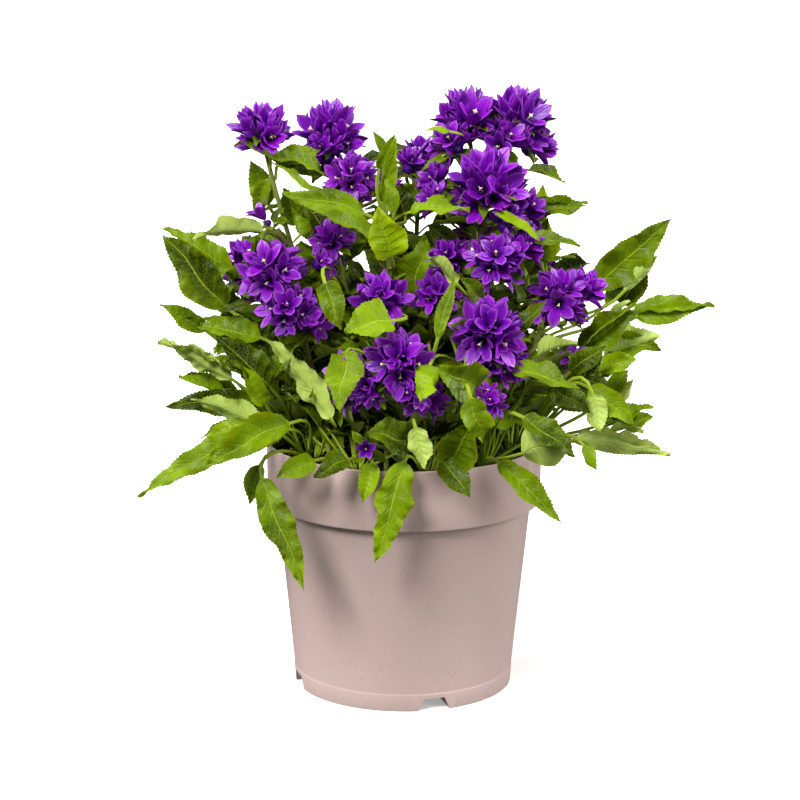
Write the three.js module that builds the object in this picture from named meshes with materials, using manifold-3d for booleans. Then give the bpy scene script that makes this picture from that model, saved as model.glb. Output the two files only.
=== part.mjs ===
// A clustered bellflower growing in a plastic nursery pot, in millimetres, +Z up.
// The origin is the middle of the pot's flat base. The plant's front looks along -Y, with +X to its right.
import * as THREE from "three";
import { mergeVertices } from "three/addons/utils/BufferGeometryUtils.js";
import Module from "manifold-3d";

const wasm = await Module();
wasm.setup();

// Pot: a tapered body with a wide upright collar, moulded with a wall of one thickness
const POT_HEIGHT = 172.5;
const RIM_RADIUS = 95;
const COLLAR_HEIGHT = 41.5;
const SHOULDER_RADIUS = 88;
const FOOT_RADIUS = 75.6;
const FOOT_BAND = 12;
const WALL = 2.2;
const POT_SIDES = 24;
const ROOT_SIDES = 4;

// Four drainage pockets rise into the base, each open at the foot and holed through its roof
const POCKET_TURN = THREE.MathUtils.degToRad(16.4);
const POCKET_COUNT = 4;
const POCKET_WIDTH = 23.6;
const POCKET_ROOF_WIDTH = 14.5;
const POCKET_HEIGHT = 9;
const POCKET_DEPTH = 32;
const DRAIN_RADIUS = 5;

// Soil, and the roots that stand in it
const GAP = 0.3;
const SOIL_TOP = 161;
const ROOT_DEPTH = 20;
const HOLE_RADIUS = 3;
const CROWN_RADIUS = 5;
const CROWN_HEIGHT = 5;

// Stems, petioles and blades
const STEM_RADIUS = 1.8;
const BRANCH_RADIUS = 1.4;
const STEM_SIDES = 5;
const PETIOLE_WIDTH = 2.4;
const RIB_THICKNESS = 1.6;
const BLADE_FOLD = 0.3;
const STRAIGHT_STALK = 20;
const LONG_STALK = 60;
const LONG_BLADE = 34;
const LARGE_BLADE = 58;

// Heads: each floret is a share of its head's reach, the distance from the middle to the lobes' tips
const CORE_SHARE = 0.24;
const TIP_RISE = 0.93;
const TIP_SPREAD = 0.4;
const NOTCH_RISE = 0.68;
const NOTCH_SPREAD = 0.25;
const THROAT_RISE = 0.4;

// The line of sight from the front: leaves in each other's way part along it
const SIGHT = new THREE.Vector3(0, 0.976, -0.218);
const SIGHT_STEP = 5;
const CLEARANCE = 0.4;
const WELD = 0.02;

const UP = new THREE.Vector3(0, 0, 1);
const lerp = THREE.MathUtils.lerp;
const vec = (p) => new THREE.Vector3(p[0], p[1], p[2]);

// Even draws from 0 to 1, the same on every run
class Draw {
  constructor(seed) {
    this.state = seed;
  }
  next() {
    this.state = (this.state * 1664525 + 1013904223) % 4294967296;
    return this.state / 4294967296;
  }
  around(middle, spread) {
    return middle + spread * (2 * this.next() - 1);
  }
}

// The plant's front half. Each flowering stem has its foot in the soil, its heads (the first ends the stem,
// the others stand on branches) and its leaves. A head is [middle, axis, reach, florets]. A leaf is
// [blade's base, tip, width, arch, face]: face is the angle from facing up towards facing the front.
const STEMS = [
  {
    name: "01",
    foot: [-48, -18],
    heads: [
      { clusters: [[[-95, -30, 388], [-0.15, -0.1, 1], 23, 9]] },
      { clusters: [[[-91, -37, 328], [-0.75, -0.1, 0.9], 19, 1]] },
    ],
    leaves: [
      [[-94, -38, 322], [-139, -60, 320], 17, 7, -50],
      [[-84, -26, 366], [-57, -18, 374], 15, 4, 55],
      [[-92, -24, 355], [-101, -20, 330], 11, 3, 60],
    ],
  },
  {
    name: "02",
    foot: [-25, 12],
    heads: [
      { clusters: [[[-51, 4, 381], [-0.1, -0.2, 1], 27, 9]] },
      { clusters: [[[-37, -26, 355], [0.1, -0.7, 0.7], 22, 8]] },
      { clusters: [[[-13, -8, 350], [0.3, -0.3, 0.9], 15, 4]] },
    ],
    leaves: [
      [[-12, -5, 366], [-22, -10, 386], 9, 2, 60],
      [[-49, -45, 339], [-88, -60, 372], 9, 4, 30],
      [[-57, -30, 361], [-93, -45, 374], 17, 5, 40],
      [[-51, -20, 314], [-78, -15, 340], 24, 4, 60],
    ],
  },
  {
    name: "03",
    foot: [2, 22],
    heads: [{ clusters: [[[9, 16, 361], [0, -0.2, 1], 22, 3]] }],
    leaves: [
      [[12, 8, 340], [-14, -14, 346], 14, 4, 40],
      [[18, 14, 330], [38, 24, 352], 16, 3, 50],
    ],
  },
  {
    name: "04",
    foot: [46, 6],
    heads: [
      {
        clusters: [
          [[41, 4, 391], [-0.2, -0.1, 1], 27, 9],
          [[76, 8, 392], [0.25, -0.1, 1], 27, 9],
          [[84, 6, 373], [0.8, -0.2, 0.5], 21, 4],
        ],
      },
    ],
    leaves: [
      [[36, -10, 371], [10, -25, 361], 10, 3, 30],
      [[29, -25, 388], [13, -30, 389], 8, 1, 30],
      [[83, -5, 360], [107, -10, 352], 11, 3, 40],
      [[83, -5, 337], [123, -10, 338], 12, 5, 30],
    ],
  },
  {
    name: "05",
    foot: [26, -10],
    heads: [
      { clusters: [[[55, -32, 350], [0.05, -0.4, 0.9], 31, 10]] },
      { clusters: [[[22, -34, 342], [-0.7, -0.6, 0.3], 17, 4]] },
      { clusters: [[[59, -62, 306], [0, -0.8, 0.7], 24, 8]] },
    ],
    leaves: [
      [[61, -50, 337], [89, -60, 320], 10, 4, 40],
      [[76, -40, 316], [116, -45, 315], 12, 6, 30],
      [[33, -95, 298], [14, -100, 317], 14, 3, -50],
      [[50, -85, 285], [35, -95, 302], 12, 3, 60],
    ],
  },
  {
    name: "06",
    foot: [-50, -43],
    heads: [
      {
        clusters: [
          [[-87, -55, 295], [-0.35, -0.6, 0.75], 28, 9],
          [[-77, -66, 274], [0, -0.8, 0.5], 22, 7],
        ],
      },
    ],
    leaves: [
      [[-120, -35, 271], [-163, -25, 318], 26, 7, 75],
      [[-48, -85, 206], [-91, -70, 257], 20, 8, -60],
      [[-100, -40, 262], [-126, -52, 240], 17, 4, 50],
    ],
  },
  {
    name: "07",
    foot: [-28, -12],
    heads: [{ clusters: [[[-49, -25, 313], [-0.3, -0.5, 0.8], 18, 7]] }],
    leaves: [
      [[-14, -110, 276], [-44, -125, 272], 27, 6, 60],
      [[-52, -85, 296], [-41, -100, 268], 17, 4, 80],
    ],
  },
  {
    name: "08",
    foot: [-12, -44],
    heads: [{ clusters: [[[-15, -68, 279], [-0.1, -0.7, 0.7], 24, 8]] }],
    leaves: [],
  },
  {
    name: "09",
    foot: [14, -34],
    heads: [{ clusters: [[[21, -50, 281], [0.2, -0.7, 0.7], 20, 8]] }],
    leaves: [[[21, -115, 266], [32, -100, 305], 9, 3, 40]],
  },
  {
    name: "10",
    foot: [32, -52],
    heads: [
      { clusters: [[[54, -92, 264], [0.15, -0.8, 0.6], 30, 10]] },
      { clusters: [[[54, -104, 222], [0.1, -0.9, 0.4], 15, 6]] },
    ],
    leaves: [
      [[47, -112, 233], [20, -125, 250], 26, 5, 80],
      [[16, -118, 259], [10, -128, 237], 17, 4, 80],
    ],
  },
  {
    name: "11",
    foot: [56, -26],
    heads: [
      { clusters: [[[103, -45, 278], [0.3, -0.6, 0.75], 26, 9]] },
      { clusters: [[[113, -46, 236], [0.5, -0.7, 0.4], 14, 5]] },
    ],
    leaves: [
      [[131, 10, 278], [181, 5, 326], 26, 8, 70],
      [[84, -5, 288], [97, 0, 327], 17, 4, 70],
      [[91, 0, 324], [93, -5, 351], 11, 2, 60],
      [[105, 35, 282], [129, 35, 290], 15, 3, 40],
      [[139, 15, 265], [168, 20, 294], 13, 4, 40],
      [[70, -95, 241], [113, -105, 231], 17, 5, 50],
      [[87, -85, 249], [112, -90, 258], 15, 3, -40],
      [[74, -75, 262], [92, -75, 283], 13, 2, 50],
    ],
  },
  {
    name: "12",
    foot: [0, -64],
    heads: [
      {
        clusters: [
          [[-3, -108, 248], [0, -0.8, 0.5], 26, 9],
          [[-21, -111, 234], [-0.4, -0.8, 0.1], 19, 4],
          [[8, -111, 231], [0.3, -0.8, 0], 19, 4],
        ],
      },
      { clusters: [[[-24, -98, 190], [-0.1, -1, 0.1], 17, 1]] },
    ],
    leaves: [[[-38, -110, 256], [-41, -125, 220], 23, 5, 70]],
  },
  {
    name: "13",
    foot: [-4, -22],
    top: [-13, -50, 344],
    heads: [],
    leaves: [
      [[-9, -78, 312], [-18, -84, 346], 24, 4, 90],
      [[-15, -50, 344], [-6, -55, 389], 10, 3, 60],
      [[-27, -60, 338], [-82, -65, 352], 17, 6, 55],
      [[3, -52, 338], [42, -60, 340], 13, 4, 30],
      [[-21, -62, 321], [-59, -75, 341], 14, 4, 40],
      [[-8, -58, 338], [-13, -55, 363], 10, 2, 60],
      [[7, -30, 279], [13, -25, 319], 26, 4, 70],
      [[-30, -42, 330], [-10, -60, 338], 13, 4, 30],
    ],
  },
];

// Tufts of long-stalked leaves that grow from crowns on the soil
const TUFTS = [
  {
    name: "01",
    foot: [-62, -35],
    leaves: [
      [[-92, -70, 195], [-175, -95, 155], 19, 12, 45],
      [[-93, -95, 168], [-65, -120, 99], 20, 6, 80],
      [[-80, -85, 198], [-129, -105, 182], 20, 10, 50],
      [[-88, -62, 193], [-141, -75, 216], 16, 6, -60],
      [[-101, -20, 187], [-139, -20, 177], 14, 5, 30],
      [[-96, -50, 166], [-103, -50, 139], 13, 3, 60],
    ],
  },
  {
    name: "02",
    foot: [-30, -68],
    leaves: [
      [[2, -100, 195], [-25, -118, 204], 24, 5, 70],
      [[-59, -95, 180], [-83, -105, 171], 15, 4, 60],
      [[-37, -100, 182], [-59, -112, 173], 15, 4, 60],
      [[-21, -95, 178], [-27, -108, 155], 13, 3, 70],
    ],
  },
  {
    name: "03",
    foot: [15, -76],
    leaves: [
      [[0, -105, 182], [-19, -122, 118], 23, 6, 85],
      [[31, -100, 181], [45, -110, 213], 26, 4, 80],
      [[7, -118, 208], [13, -125, 182], 16, 3, -70],
      [[25, -98, 182], [43, -112, 160], 17, 4, 75],
    ],
  },
  {
    name: "04",
    foot: [50, -56],
    leaves: [
      [[62, -90, 178], [103, -105, 141], 16, 7, 60],
      [[76, -105, 188], [108, -115, 196], 29, 4, -70],
      [[42, -120, 228], [50, -128, 202], 19, 4, 80],
      [[95, -75, 226], [121, -80, 209], 17, 5, 55],
      [[77, -105, 212], [110, -110, 187], 18, 5, 60],
    ],
  },
  {
    name: "05",
    foot: [73, -11],
    leaves: [
      [[112, -60, 186], [178, -60, 176], 14, 8, -35],
      [[156, -5, 264], [210, -15, 269], 13, 7, 40],
      [[136, -20, 243], [173, -30, 242], 17, 5, 50],
      [[118, -35, 243], [155, -40, 275], 15, 6, 30],
      [[122, -70, 224], [151, -80, 201], 17, 6, 60],
      [[135, -20, 222], [158, -20, 238], 17, 3, 45],
      [[110, -60, 233], [133, -60, 250], 15, 3, 50],
      [[137, -20, 182], [170, -20, 195], 13, 4, 30],
      [[123, -85, 223], [128, -95, 200], 15, 4, -60],
    ],
  },
  {
    name: "06",
    foot: [-76, 4],
    leaves: [
      [[-118, 5, 281], [-168, 15, 316], 16, 12, 20],
      [[-94, -40, 247], [-137, -45, 262], 20, 6, 60],
      [[-123, -30, 226], [-166, -35, 247], 15, 6, -30],
      [[-132, 0, 246], [-167, -5, 267], 13, 4, 20],
      [[-101, -30, 205], [-160, -50, 205], 18, 7, 60],
      [[-114, -5, 203], [-155, -5, 216], 14, 5, 30],
    ],
  },
];

// The back half repeats these stems and tufts, turned half round the pot's axis and drawn a little apart.
// Only their larger leaves come with them.
const BACK_STEMS = { "06": "14", "07": "15", "08": "16", "10": "17", "11": "18", "12": "19" };
const BACK_TUFTS = { "01": "07", "02": "08", "03": "09", "04": "10" };
const BACK_LEAF = 34;
const BACK_LINE = -25;
const BACK_DRIFT = 5;
const BACK_FLORETS = 7;

// Leaves by rule fill the plant between those set by hand: up each stem, and over the rim from each crown
const GOLDEN_TURN = 2.39996;
const FRONT_FILL = 1;
const BACK_FILL = 3;
const CROWN_FILL = 3;

// A closed geometry as a solid, with its shared corners merged and its faces turned out
function solidOf(geometry) {
  const plain = geometry.index ? geometry.toNonIndexed() : geometry.clone();
  plain.deleteAttribute("normal");
  plain.deleteAttribute("uv");
  const merged = mergeVertices(plain, 1e-3);
  const corners = merged.index.array;
  const faces = [];
  for (let i = 0; i < corners.length; i += 3) {
    const [a, b, c] = corners.subarray(i, i + 3);
    if (a !== b && b !== c && a !== c) faces.push(a, b, c);
  }
  const vertProperties = merged.attributes.position.array;
  const build = (order) => new wasm.Manifold(new wasm.Mesh({ numProp: 3, vertProperties, triVerts: order }));
  const made = build(new Uint32Array(faces));
  if (made.volume() > 0) return made;
  for (let i = 0; i < faces.length; i += 3) [faces[i], faces[i + 1]] = [faces[i + 1], faces[i]];
  return build(new Uint32Array(faces));
}

function geometryOf(points, faces) {
  const geometry = new THREE.BufferGeometry().setFromPoints(points);
  return geometry.setIndex(faces);
}

function meshOf(name, solid, material) {
  const mesh = solid.getMesh();
  const points = new Float32Array(mesh.numVert * 3);
  for (let i = 0; i < mesh.numVert; i++) {
    points.set(mesh.vertProperties.subarray(i * mesh.numProp, i * mesh.numProp + 3), i * 3);
  }
  const geometry = new THREE.BufferGeometry();
  geometry.setAttribute("position", new THREE.BufferAttribute(points, 3));
  geometry.setIndex(new THREE.BufferAttribute(mesh.triVerts, 1));
  const made = new THREE.Mesh(geometry, material);
  made.name = name;
  return made;
}

// A round body about the pot's axis from a profile of [radius, height]
function turned(profile) {
  const outline = profile.map(([radius, height]) => new THREE.Vector2(radius, height));
  return solidOf(new THREE.LatheGeometry(outline, POT_SIDES).rotateX(Math.PI / 2));
}

// A bar of trapezoid section that runs outwards from the axis at a height of zero
function pocketBar(turn, grow) {
  const half = POCKET_WIDTH / 2 + grow;
  const roofHalf = POCKET_ROOF_WIDTH / 2 + grow;
  const roof = POCKET_HEIGHT + grow;
  const section = new THREE.Shape();
  section.moveTo(-half, -1);
  section.lineTo(half, -1);
  section.lineTo(half, 0);
  section.lineTo(roofHalf, roof);
  section.lineTo(-roofHalf, roof);
  section.lineTo(-half, 0);
  section.closePath();
  const inner = FOOT_RADIUS - POCKET_DEPTH - grow;
  const bar = new THREE.ExtrudeGeometry(section, { depth: RIM_RADIUS - inner, bevelEnabled: false });
  return solidOf(bar.rotateX(Math.PI / 2).translate(0, -inner, 0).rotateZ(turn));
}

function pocketTurns() {
  return Array.from({ length: POCKET_COUNT }, (_, i) => POCKET_TURN + (i * 2 * Math.PI) / POCKET_COUNT);
}

const COLLAR_BASE = POT_HEIGHT - COLLAR_HEIGHT;

// The inside of the pot as a profile, moved inwards by inset and cut off at a height
function insideProfile(inset, top) {
  return [
    [0, WALL + inset],
    [FOOT_RADIUS - WALL - inset, WALL + inset],
    [SHOULDER_RADIUS - WALL - inset, COLLAR_BASE - 1 + inset],
    [RIM_RADIUS - WALL - 0.5 - inset, COLLAR_BASE + 2 + inset],
    [RIM_RADIUS - WALL - inset, top],
    [0, top],
  ];
}

function potSolid() {
  const outside = turned([
    [0, 0],
    [FOOT_RADIUS, 0],
    [FOOT_RADIUS + 1, FOOT_BAND],
    [FOOT_RADIUS + 0.5, FOOT_BAND + 0.6],
    [SHOULDER_RADIUS, COLLAR_BASE - 2],
    [RIM_RADIUS - 1.2, COLLAR_BASE],
    [RIM_RADIUS - 0.3, COLLAR_BASE + 1.4],
    [RIM_RADIUS, POT_HEIGHT - 1],
    [RIM_RADIUS - 0.8, POT_HEIGHT],
    [0, POT_HEIGHT],
  ]);
  let pot = outside.subtract(turned(insideProfile(0, POT_HEIGHT + 5)));
  for (const turn of pocketTurns()) {
    pot = pot.add(pocketBar(turn, WALL).intersect(outside));
    pot = pot.subtract(pocketBar(turn, 0));
    const middle = FOOT_RADIUS - POCKET_DEPTH / 2;
    const drain = new THREE.CylinderGeometry(DRAIN_RADIUS, DRAIN_RADIUS, 3 * POCKET_HEIGHT, 8);
    pot = pot.subtract(solidOf(drain.rotateX(Math.PI / 2).translate(0, -middle, 0).rotateZ(turn)));
  }
  return pot;
}

// The soil fills the pot up to just under its rim. Stems and crowns stand in plain holes.
function soilSolid(holes) {
  let soil = turned(insideProfile(GAP, SOIL_TOP));
  for (const turn of pocketTurns()) soil = soil.subtract(pocketBar(turn, WALL + GAP));
  for (const { foot, radius } of holes) {
    const hole = new THREE.CylinderGeometry(radius, radius, 2 * (ROOT_DEPTH + GAP), ROOT_SIDES);
    soil = soil.subtract(solidOf(hole.rotateX(Math.PI / 2).translate(foot[0], foot[1], SOIL_TOP)));
  }
  return soil;
}

// A crown: a short post in the soil that petioles grow from
function crownSolid(foot) {
  const post = new THREE.CylinderGeometry(CROWN_RADIUS, CROWN_RADIUS, ROOT_DEPTH + CROWN_HEIGHT, ROOT_SIDES);
  const middle = SOIL_TOP + (CROWN_HEIGHT - ROOT_DEPTH) / 2;
  return solidOf(post.rotateX(Math.PI / 2).translate(foot[0], foot[1], middle));
}

// A solid through rings of corners, closed flat at its ends or in a point. Rings of four run top, right,
// bottom, left, and those of three leave out the top. Both faces of a blade are split alike.
function loft(rings, tip) {
  const points = rings.flat();
  const faces = [];
  for (let k = 1; k + 1 < rings[0].length; k++) faces.push(0, k + 1, k);
  let here = 0;
  for (let i = 0; i + 1 < rings.length; i++) {
    const count = rings[i].length;
    const above = here + count;
    const gain = rings[i + 1].length - count;
    for (let k = 0; k < count; k++) {
      const [a, b] = [here + k, here + ((k + 1) % count)];
      const [c, d] = [above + gain + k, above + gain + ((k + 1) % count)];
      if (gain && k === count - 1) faces.push(a, b, above, b, d, above, a, above, c);
      else if (k % 2 === 0) faces.push(a, b, c, b, d, c);
      else faces.push(a, b, d, a, d, c);
    }
    here = above;
  }
  const last = rings[rings.length - 1].length;
  if (tip) points.push(tip);
  for (let k = 0; tip && k < last; k++) faces.push(here + k, here + ((k + 1) % last), points.length - 1);
  for (let k = 1; !tip && k + 1 < last; k++) faces.push(here, here + k, here + k + 1);
  return solidOf(geometryOf(points, faces));
}

// A round stem through stations of [point, direction]
function tubeSolid(stations, radius) {
  const side = new THREE.Vector3(1, 0, 0);
  const rings = stations.map(([point, ahead]) => {
    side.addScaledVector(ahead, -side.dot(ahead)).normalize();
    const other = ahead.clone().cross(side);
    return Array.from({ length: STEM_SIDES }, (_, k) => {
      const angle = (k * 2 * Math.PI) / STEM_SIDES;
      const corner = point.clone().addScaledVector(side, radius * Math.cos(angle));
      return corner.addScaledVector(other, radius * Math.sin(angle));
    });
  });
  return loft(rings, null);
}

function stationsOn(path, shares) {
  return shares.map((t) => [path.getPoint(t), path.getTangent(t)]);
}

// A stem stands straight in its hole, then follows its path
function stemSolid(foot, path) {
  const straight = [SOIL_TOP - ROOT_DEPTH, SOIL_TOP + 1].map((z) => [vec([foot[0], foot[1], z]), UP]);
  return tubeSolid([...straight, ...stationsOn(path, [0.25, 0.5, 0.75, 1])], STEM_RADIUS);
}

// The point where a cluster sits on its stem, just under the flat bottom of its core
function seatOf([middle, axis, reach]) {
  const drop = coreWarp(vec([0, 0, -1]).applyAxisAngle(new THREE.Vector3(1, 0, 0), 0.6524)).z;
  const depth = Math.abs(drop) * coreRadius(reach) + GAP;
  return vec(middle).addScaledVector(vec(axis).normalize(), -depth);
}

function coreRadius(reach) {
  return CORE_SHARE * reach * 1.2584;
}

function stemPath(foot, seat, axis) {
  const start = vec([foot[0], foot[1], SOIL_TOP + 1]);
  const height = seat.z - start.z;
  const rise = start.clone().addScaledVector(UP, 0.35 * height);
  const settle = seat.clone().addScaledVector(vec(axis).normalize(), -0.25 * height);
  return new THREE.CubicBezierCurve3(start, rise, settle, seat);
}

// The point on a path nearest to a height, not too near its ends
function pointAtHeight(path, height) {
  let best = path.getPoint(0.06);
  for (let i = 6; i <= 92; i++) {
    const point = path.getPoint(i / 100);
    if (Math.abs(point.z - height) < Math.abs(best.z - height)) best = point;
  }
  return best;
}

// A branch leaves the stem below its cluster and bends into the cluster's axis
function branchPath(stem, cluster) {
  const seat = seatOf(cluster);
  const start = pointAtHeight(stem, seat.z - 26);
  const reach = start.distanceTo(seat);
  const rise = start.clone().addScaledVector(UP, 0.3 * reach);
  const settle = seat.clone().addScaledVector(vec(cluster[1]).normalize(), -0.4 * reach);
  return new THREE.CubicBezierCurve3(start, rise, settle, seat);
}

// Directions of the core's corners and florets lean towards the axis, so the head is full above and flat below
function coreWarp(direction) {
  const polar = Math.acos(THREE.MathUtils.clamp(direction.z, -1, 1));
  const leaned = polar - 0.237 * (1 - Math.cos(polar)) * Math.sin(polar);
  const flat = Math.hypot(direction.x, direction.y) || 1;
  const out = Math.sin(leaned) / flat;
  return new THREE.Vector3(direction.x * out, direction.y * out, Math.cos(leaned));
}

// Twelve pentagons, sorted from the head's top to its flat bottom. Each lists its corners anticlockwise.
function corePentagons() {
  const shape = new THREE.DodecahedronGeometry(1);
  const corner = (i) => new THREE.Vector3().fromBufferAttribute(shape.attributes.position, i);
  const faces = [];
  for (let i = 0; i < 108; i += 9) faces.push([i, i + 1, i + 4, i + 7, i + 8].map(corner));
  const middle = (face) => face.reduce((sum, p) => sum.add(p), new THREE.Vector3()).normalize();
  const turn = new THREE.Quaternion().setFromUnitVectors(middle(faces[0]), new THREE.Vector3(0, 0, -1));
  const made = faces.map((face) => {
    const corners = face.map((p) => p.clone().applyQuaternion(turn));
    return { corners, middle: middle(corners) };
  });
  const order = (f) => -Math.round(f.middle.z * 1e4) * 10 + Math.atan2(f.middle.y, f.middle.x);
  return made.sort((a, b) => order(a) - order(b));
}

const PENTAGONS = corePentagons();

// A head of florets: star bells raised from the faces of a twelve-sided core, in one closed surface
function clusterSolid([at, axis, reach, florets], seed) {
  const draw = new Draw(seed);
  const spin = new THREE.Quaternion().setFromAxisAngle(UP, draw.next() * 2 * Math.PI);
  const lean = new THREE.Quaternion().setFromUnitVectors(UP, vec(axis).normalize());
  const place = (p) => p.applyQuaternion(spin).applyQuaternion(lean).add(vec(at));
  const points = [];
  const faces = [];
  const add = (p) => points.push(place(p)) - 1;
  const core = new Map();
  const coreCorner = (p) => {
    const key = [p.x, p.y, p.z].map((v) => Math.round(v * 1000)).join();
    if (!core.has(key)) core.set(key, add(coreWarp(p).multiplyScalar(coreRadius(reach))));
    return core.get(key);
  };
  PENTAGONS.forEach((face, index) => {
    const rim = face.corners.map(coreCorner);
    if (index >= florets) {
      for (let k = 1; k < 4; k++) faces.push(rim[0], rim[k], rim[k + 1]);
      return;
    }
    const out = coreWarp(face.middle);
    const first = face.corners[0].clone().addScaledVector(out, -face.corners[0].dot(out)).normalize();
    const second = out.clone().cross(first);
    const size = reach * draw.around(0.94, 0.06);
    const twist = draw.around(0, 0.2);
    const closed = index > 0 && draw.next() < 0.16;
    const point = (step, rise, spread) => {
      const angle = (step * Math.PI) / 5 + twist;
      const p = out.clone().multiplyScalar(rise * size);
      p.addScaledVector(first, Math.cos(angle) * spread * size);
      return add(p.addScaledVector(second, Math.sin(angle) * spread * size));
    };
    const tips = [];
    const notches = [];
    for (let k = 0; k < 5; k++) {
      const open = closed ? 0.2 : draw.around(1, 0.12);
      tips.push(point(2 * k, TIP_RISE * draw.around(1, 0.05), TIP_SPREAD * open));
      notches.push(point(2 * k + 1, NOTCH_RISE, NOTCH_SPREAD * (closed ? 0.7 : 1)));
    }
    const throat = point(0, THROAT_RISE, 0);
    for (let k = 0; k < 5; k++) {
      const next = (k + 1) % 5;
      const before = (k + 4) % 5;
      faces.push(rim[k], rim[next], notches[k], rim[k], notches[k], tips[k], rim[k], tips[k], notches[before]);
      faces.push(tips[k], notches[k], throat, notches[before], tips[k], throat);
    }
  });
  return solidOf(geometryOf(points, faces));
}

// Ovate and pointed: widest two fifths of the way out
const bladeShare = (t) => 2.557 * t ** 0.55 * (1 - t) ** 0.85;

// The rings of a leaf from its root to the last one before its tip: three corners along the petiole, four
// along the blade. Odd and even rings wave the margin in and out and up and down.
function leafRings(leaf, grow) {
  const along = leaf.tip.clone().sub(leaf.base).normalize();
  const blade = leaf.upper.clone().addScaledVector(along, -leaf.upper.dot(along)).normalize();
  const bend = leaf.base.clone().lerp(leaf.tip, 0.5).addScaledVector(blade, leaf.arch);
  const rib = new THREE.QuadraticBezierCurve3(leaf.base, bend, leaf.tip);
  const reach = leaf.base.distanceTo(leaf.root);
  const aside = leaf.base.clone().sub(leaf.root).setZ(0).normalize();
  const rise = leaf.root.clone().addScaledVector(aside.add(UP).normalize(), 0.35 * reach);
  const lead = leaf.base.clone().addScaledVector(bend.clone().sub(leaf.base).normalize(), -0.35 * reach);
  const stalk = new THREE.CubicBezierCurve3(leaf.root, rise, lead, leaf.base);
  const normal = blade.clone();
  const ring = (curve, t, half, thick, lift, wave) => {
    const middle = curve.getPoint(t);
    const ahead = curve.getTangent(t);
    normal.addScaledVector(ahead, -normal.dot(ahead)).normalize();
    const side = ahead.clone().cross(normal);
    const at = (out, up) => middle.clone().addScaledVector(side, out).addScaledVector(normal, up);
    const edge = half + grow;
    const corners = [at(edge, lift - wave), at(0, -thick - grow), at(-edge, lift + wave)];
    return curve === rib ? [at(0, thick + grow), ...corners] : corners;
  };
  const steps = 1 + Number(reach > STRAIGHT_STALK) + Number(reach > LONG_STALK);
  const flat = RIB_THICKNESS / 2;
  const rings = [ring(rib, 0, PETIOLE_WIDTH / 2, flat, 0, 0)];
  for (let i = steps - 1; i >= 0; i--) {
    rings.unshift(ring(stalk, i / steps, PETIOLE_WIDTH / 2, flat, 0.4 * flat + grow, 0));
  }
  normal.copy(blade);
  for (let i = 1; i <= leaf.steps; i++) {
    const t = i / (leaf.steps + 1);
    const sway = i % 2 === 0 ? 1 : -1;
    const half = (leaf.width / 2) * bladeShare(t) * (1 + 0.07 * sway);
    rings.push(ring(rib, t, half, flat * (1 - 0.4 * t), BLADE_FOLD * half, 0.06 * leaf.width * sway));
  }
  return rings;
}

function leafSolid(leaf, grow, fromBlade) {
  const rings = leafRings(leaf, grow);
  return loft(fromBlade ? rings.slice(-leaf.steps) : rings, leaf.tip);
}

// The ways a leaf may part from its neighbours: mostly along the line of sight, then across it
function partings(turn) {
  const steps = [0, -1, 1, -2, 2, -3, 3, -4, 4];
  const pairs = steps.flatMap((a) => steps.map((b) => [a, b]));
  pairs.sort((p, q) => Math.abs(p[0]) + Math.abs(p[1]) - Math.abs(q[0]) - Math.abs(q[1]));
  const across = [[0, 0], [0, 5], [5, 0], [-5, 0], [0, -5], [0, 10], [10, 0], [-10, 0], [0, -10]];
  const all = [];
  for (const [x, z] of across) {
    const near = x === 0 && z === 0 ? pairs : pairs.filter(([a, b]) => Math.abs(a) < 3 && Math.abs(b) < 3);
    for (const [a, b] of near) {
      const shift = (k) => vec([x, 0, z]).addScaledVector(SIGHT, k * SIGHT_STEP).applyAxisAngle(UP, turn);
      all.push([shift(a), shift(b)]);
    }
  }
  return all;
}

function meets(solid, others) {
  const box = solid.boundingBox();
  return others.some((other) => {
    const apart = [0, 1, 2].some((k) => box.min[k] > other.box.max[k] || box.max[k] < other.box.min[k]);
    if (apart) return false;
    const common = solid.intersect(other.solid);
    const touching = !common.isEmpty();
    common.delete();
    return touching;
  });
}

// Everything that grows, with its turn about the pot's axis, and what it is to keep clear of
const greens = new Map();
const blooms = new Map();
const obstacles = [];

function addObstacle(owner, solid) {
  obstacles.push({ owner, solid, box: solid.boundingBox() });
}

function turnedPoint(p, turn, drift) {
  const q = vec(p).applyAxisAngle(UP, turn);
  return [q.x + drift[0], q.y + drift[1], (p[2] ?? 0) + (drift[2] ?? 0)];
}

function raiseStem(stem, name, turn, draw) {
  const shifts = [0, 1, 2].map(() => (turn ? draw.around(0, BACK_DRIFT) : 0));
  const foot = turnedPoint(stem.foot, turn, [0, 0]);
  const heads = stem.heads.slice(0, turn ? 1 : 3).map((head, index) => ({
    name: name + "abc"[index],
    clusters: head.clusters.slice(0, turn ? 1 : 3).map(([at, axis, reach, florets]) => {
      const shown = turn ? Math.min(florets, BACK_FLORETS) : florets;
      return [turnedPoint(at, turn, shifts), turnedPoint(axis, turn, [0, 0]), reach, shown];
    }),
  }));
  const first = heads.length ? heads[0].clusters[0] : null;
  const path = first ? stemPath(foot, seatOf(first), first[1]) : stemPath(foot, vec(stem.top), [0, -0.3, 1]);
  const parts = [stemSolid(foot, path)];
  heads.forEach((head, index) => {
    head.clusters.forEach((cluster, k) => {
      if (index > 0 && k === 0) {
        parts.push(tubeSolid(stationsOn(branchPath(path, cluster), [0, 0.33, 0.67, 1]), BRANCH_RADIUS));
      }
      const seed = Number(name) * 100 + index * 10 + k;
      const solid = clusterSolid(cluster, seed);
      const bloom = blooms.get(head.name);
      blooms.set(head.name, bloom ? bloom.add(solid) : solid);
    });
  });
  for (const part of parts) addObstacle(`stem_${name}`, part);
  for (const head of heads) addObstacle(`head_${head.name}`, blooms.get(head.name));
  greens.set(`stem_${name}`, { path, foot, turn, parts });
}

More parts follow.
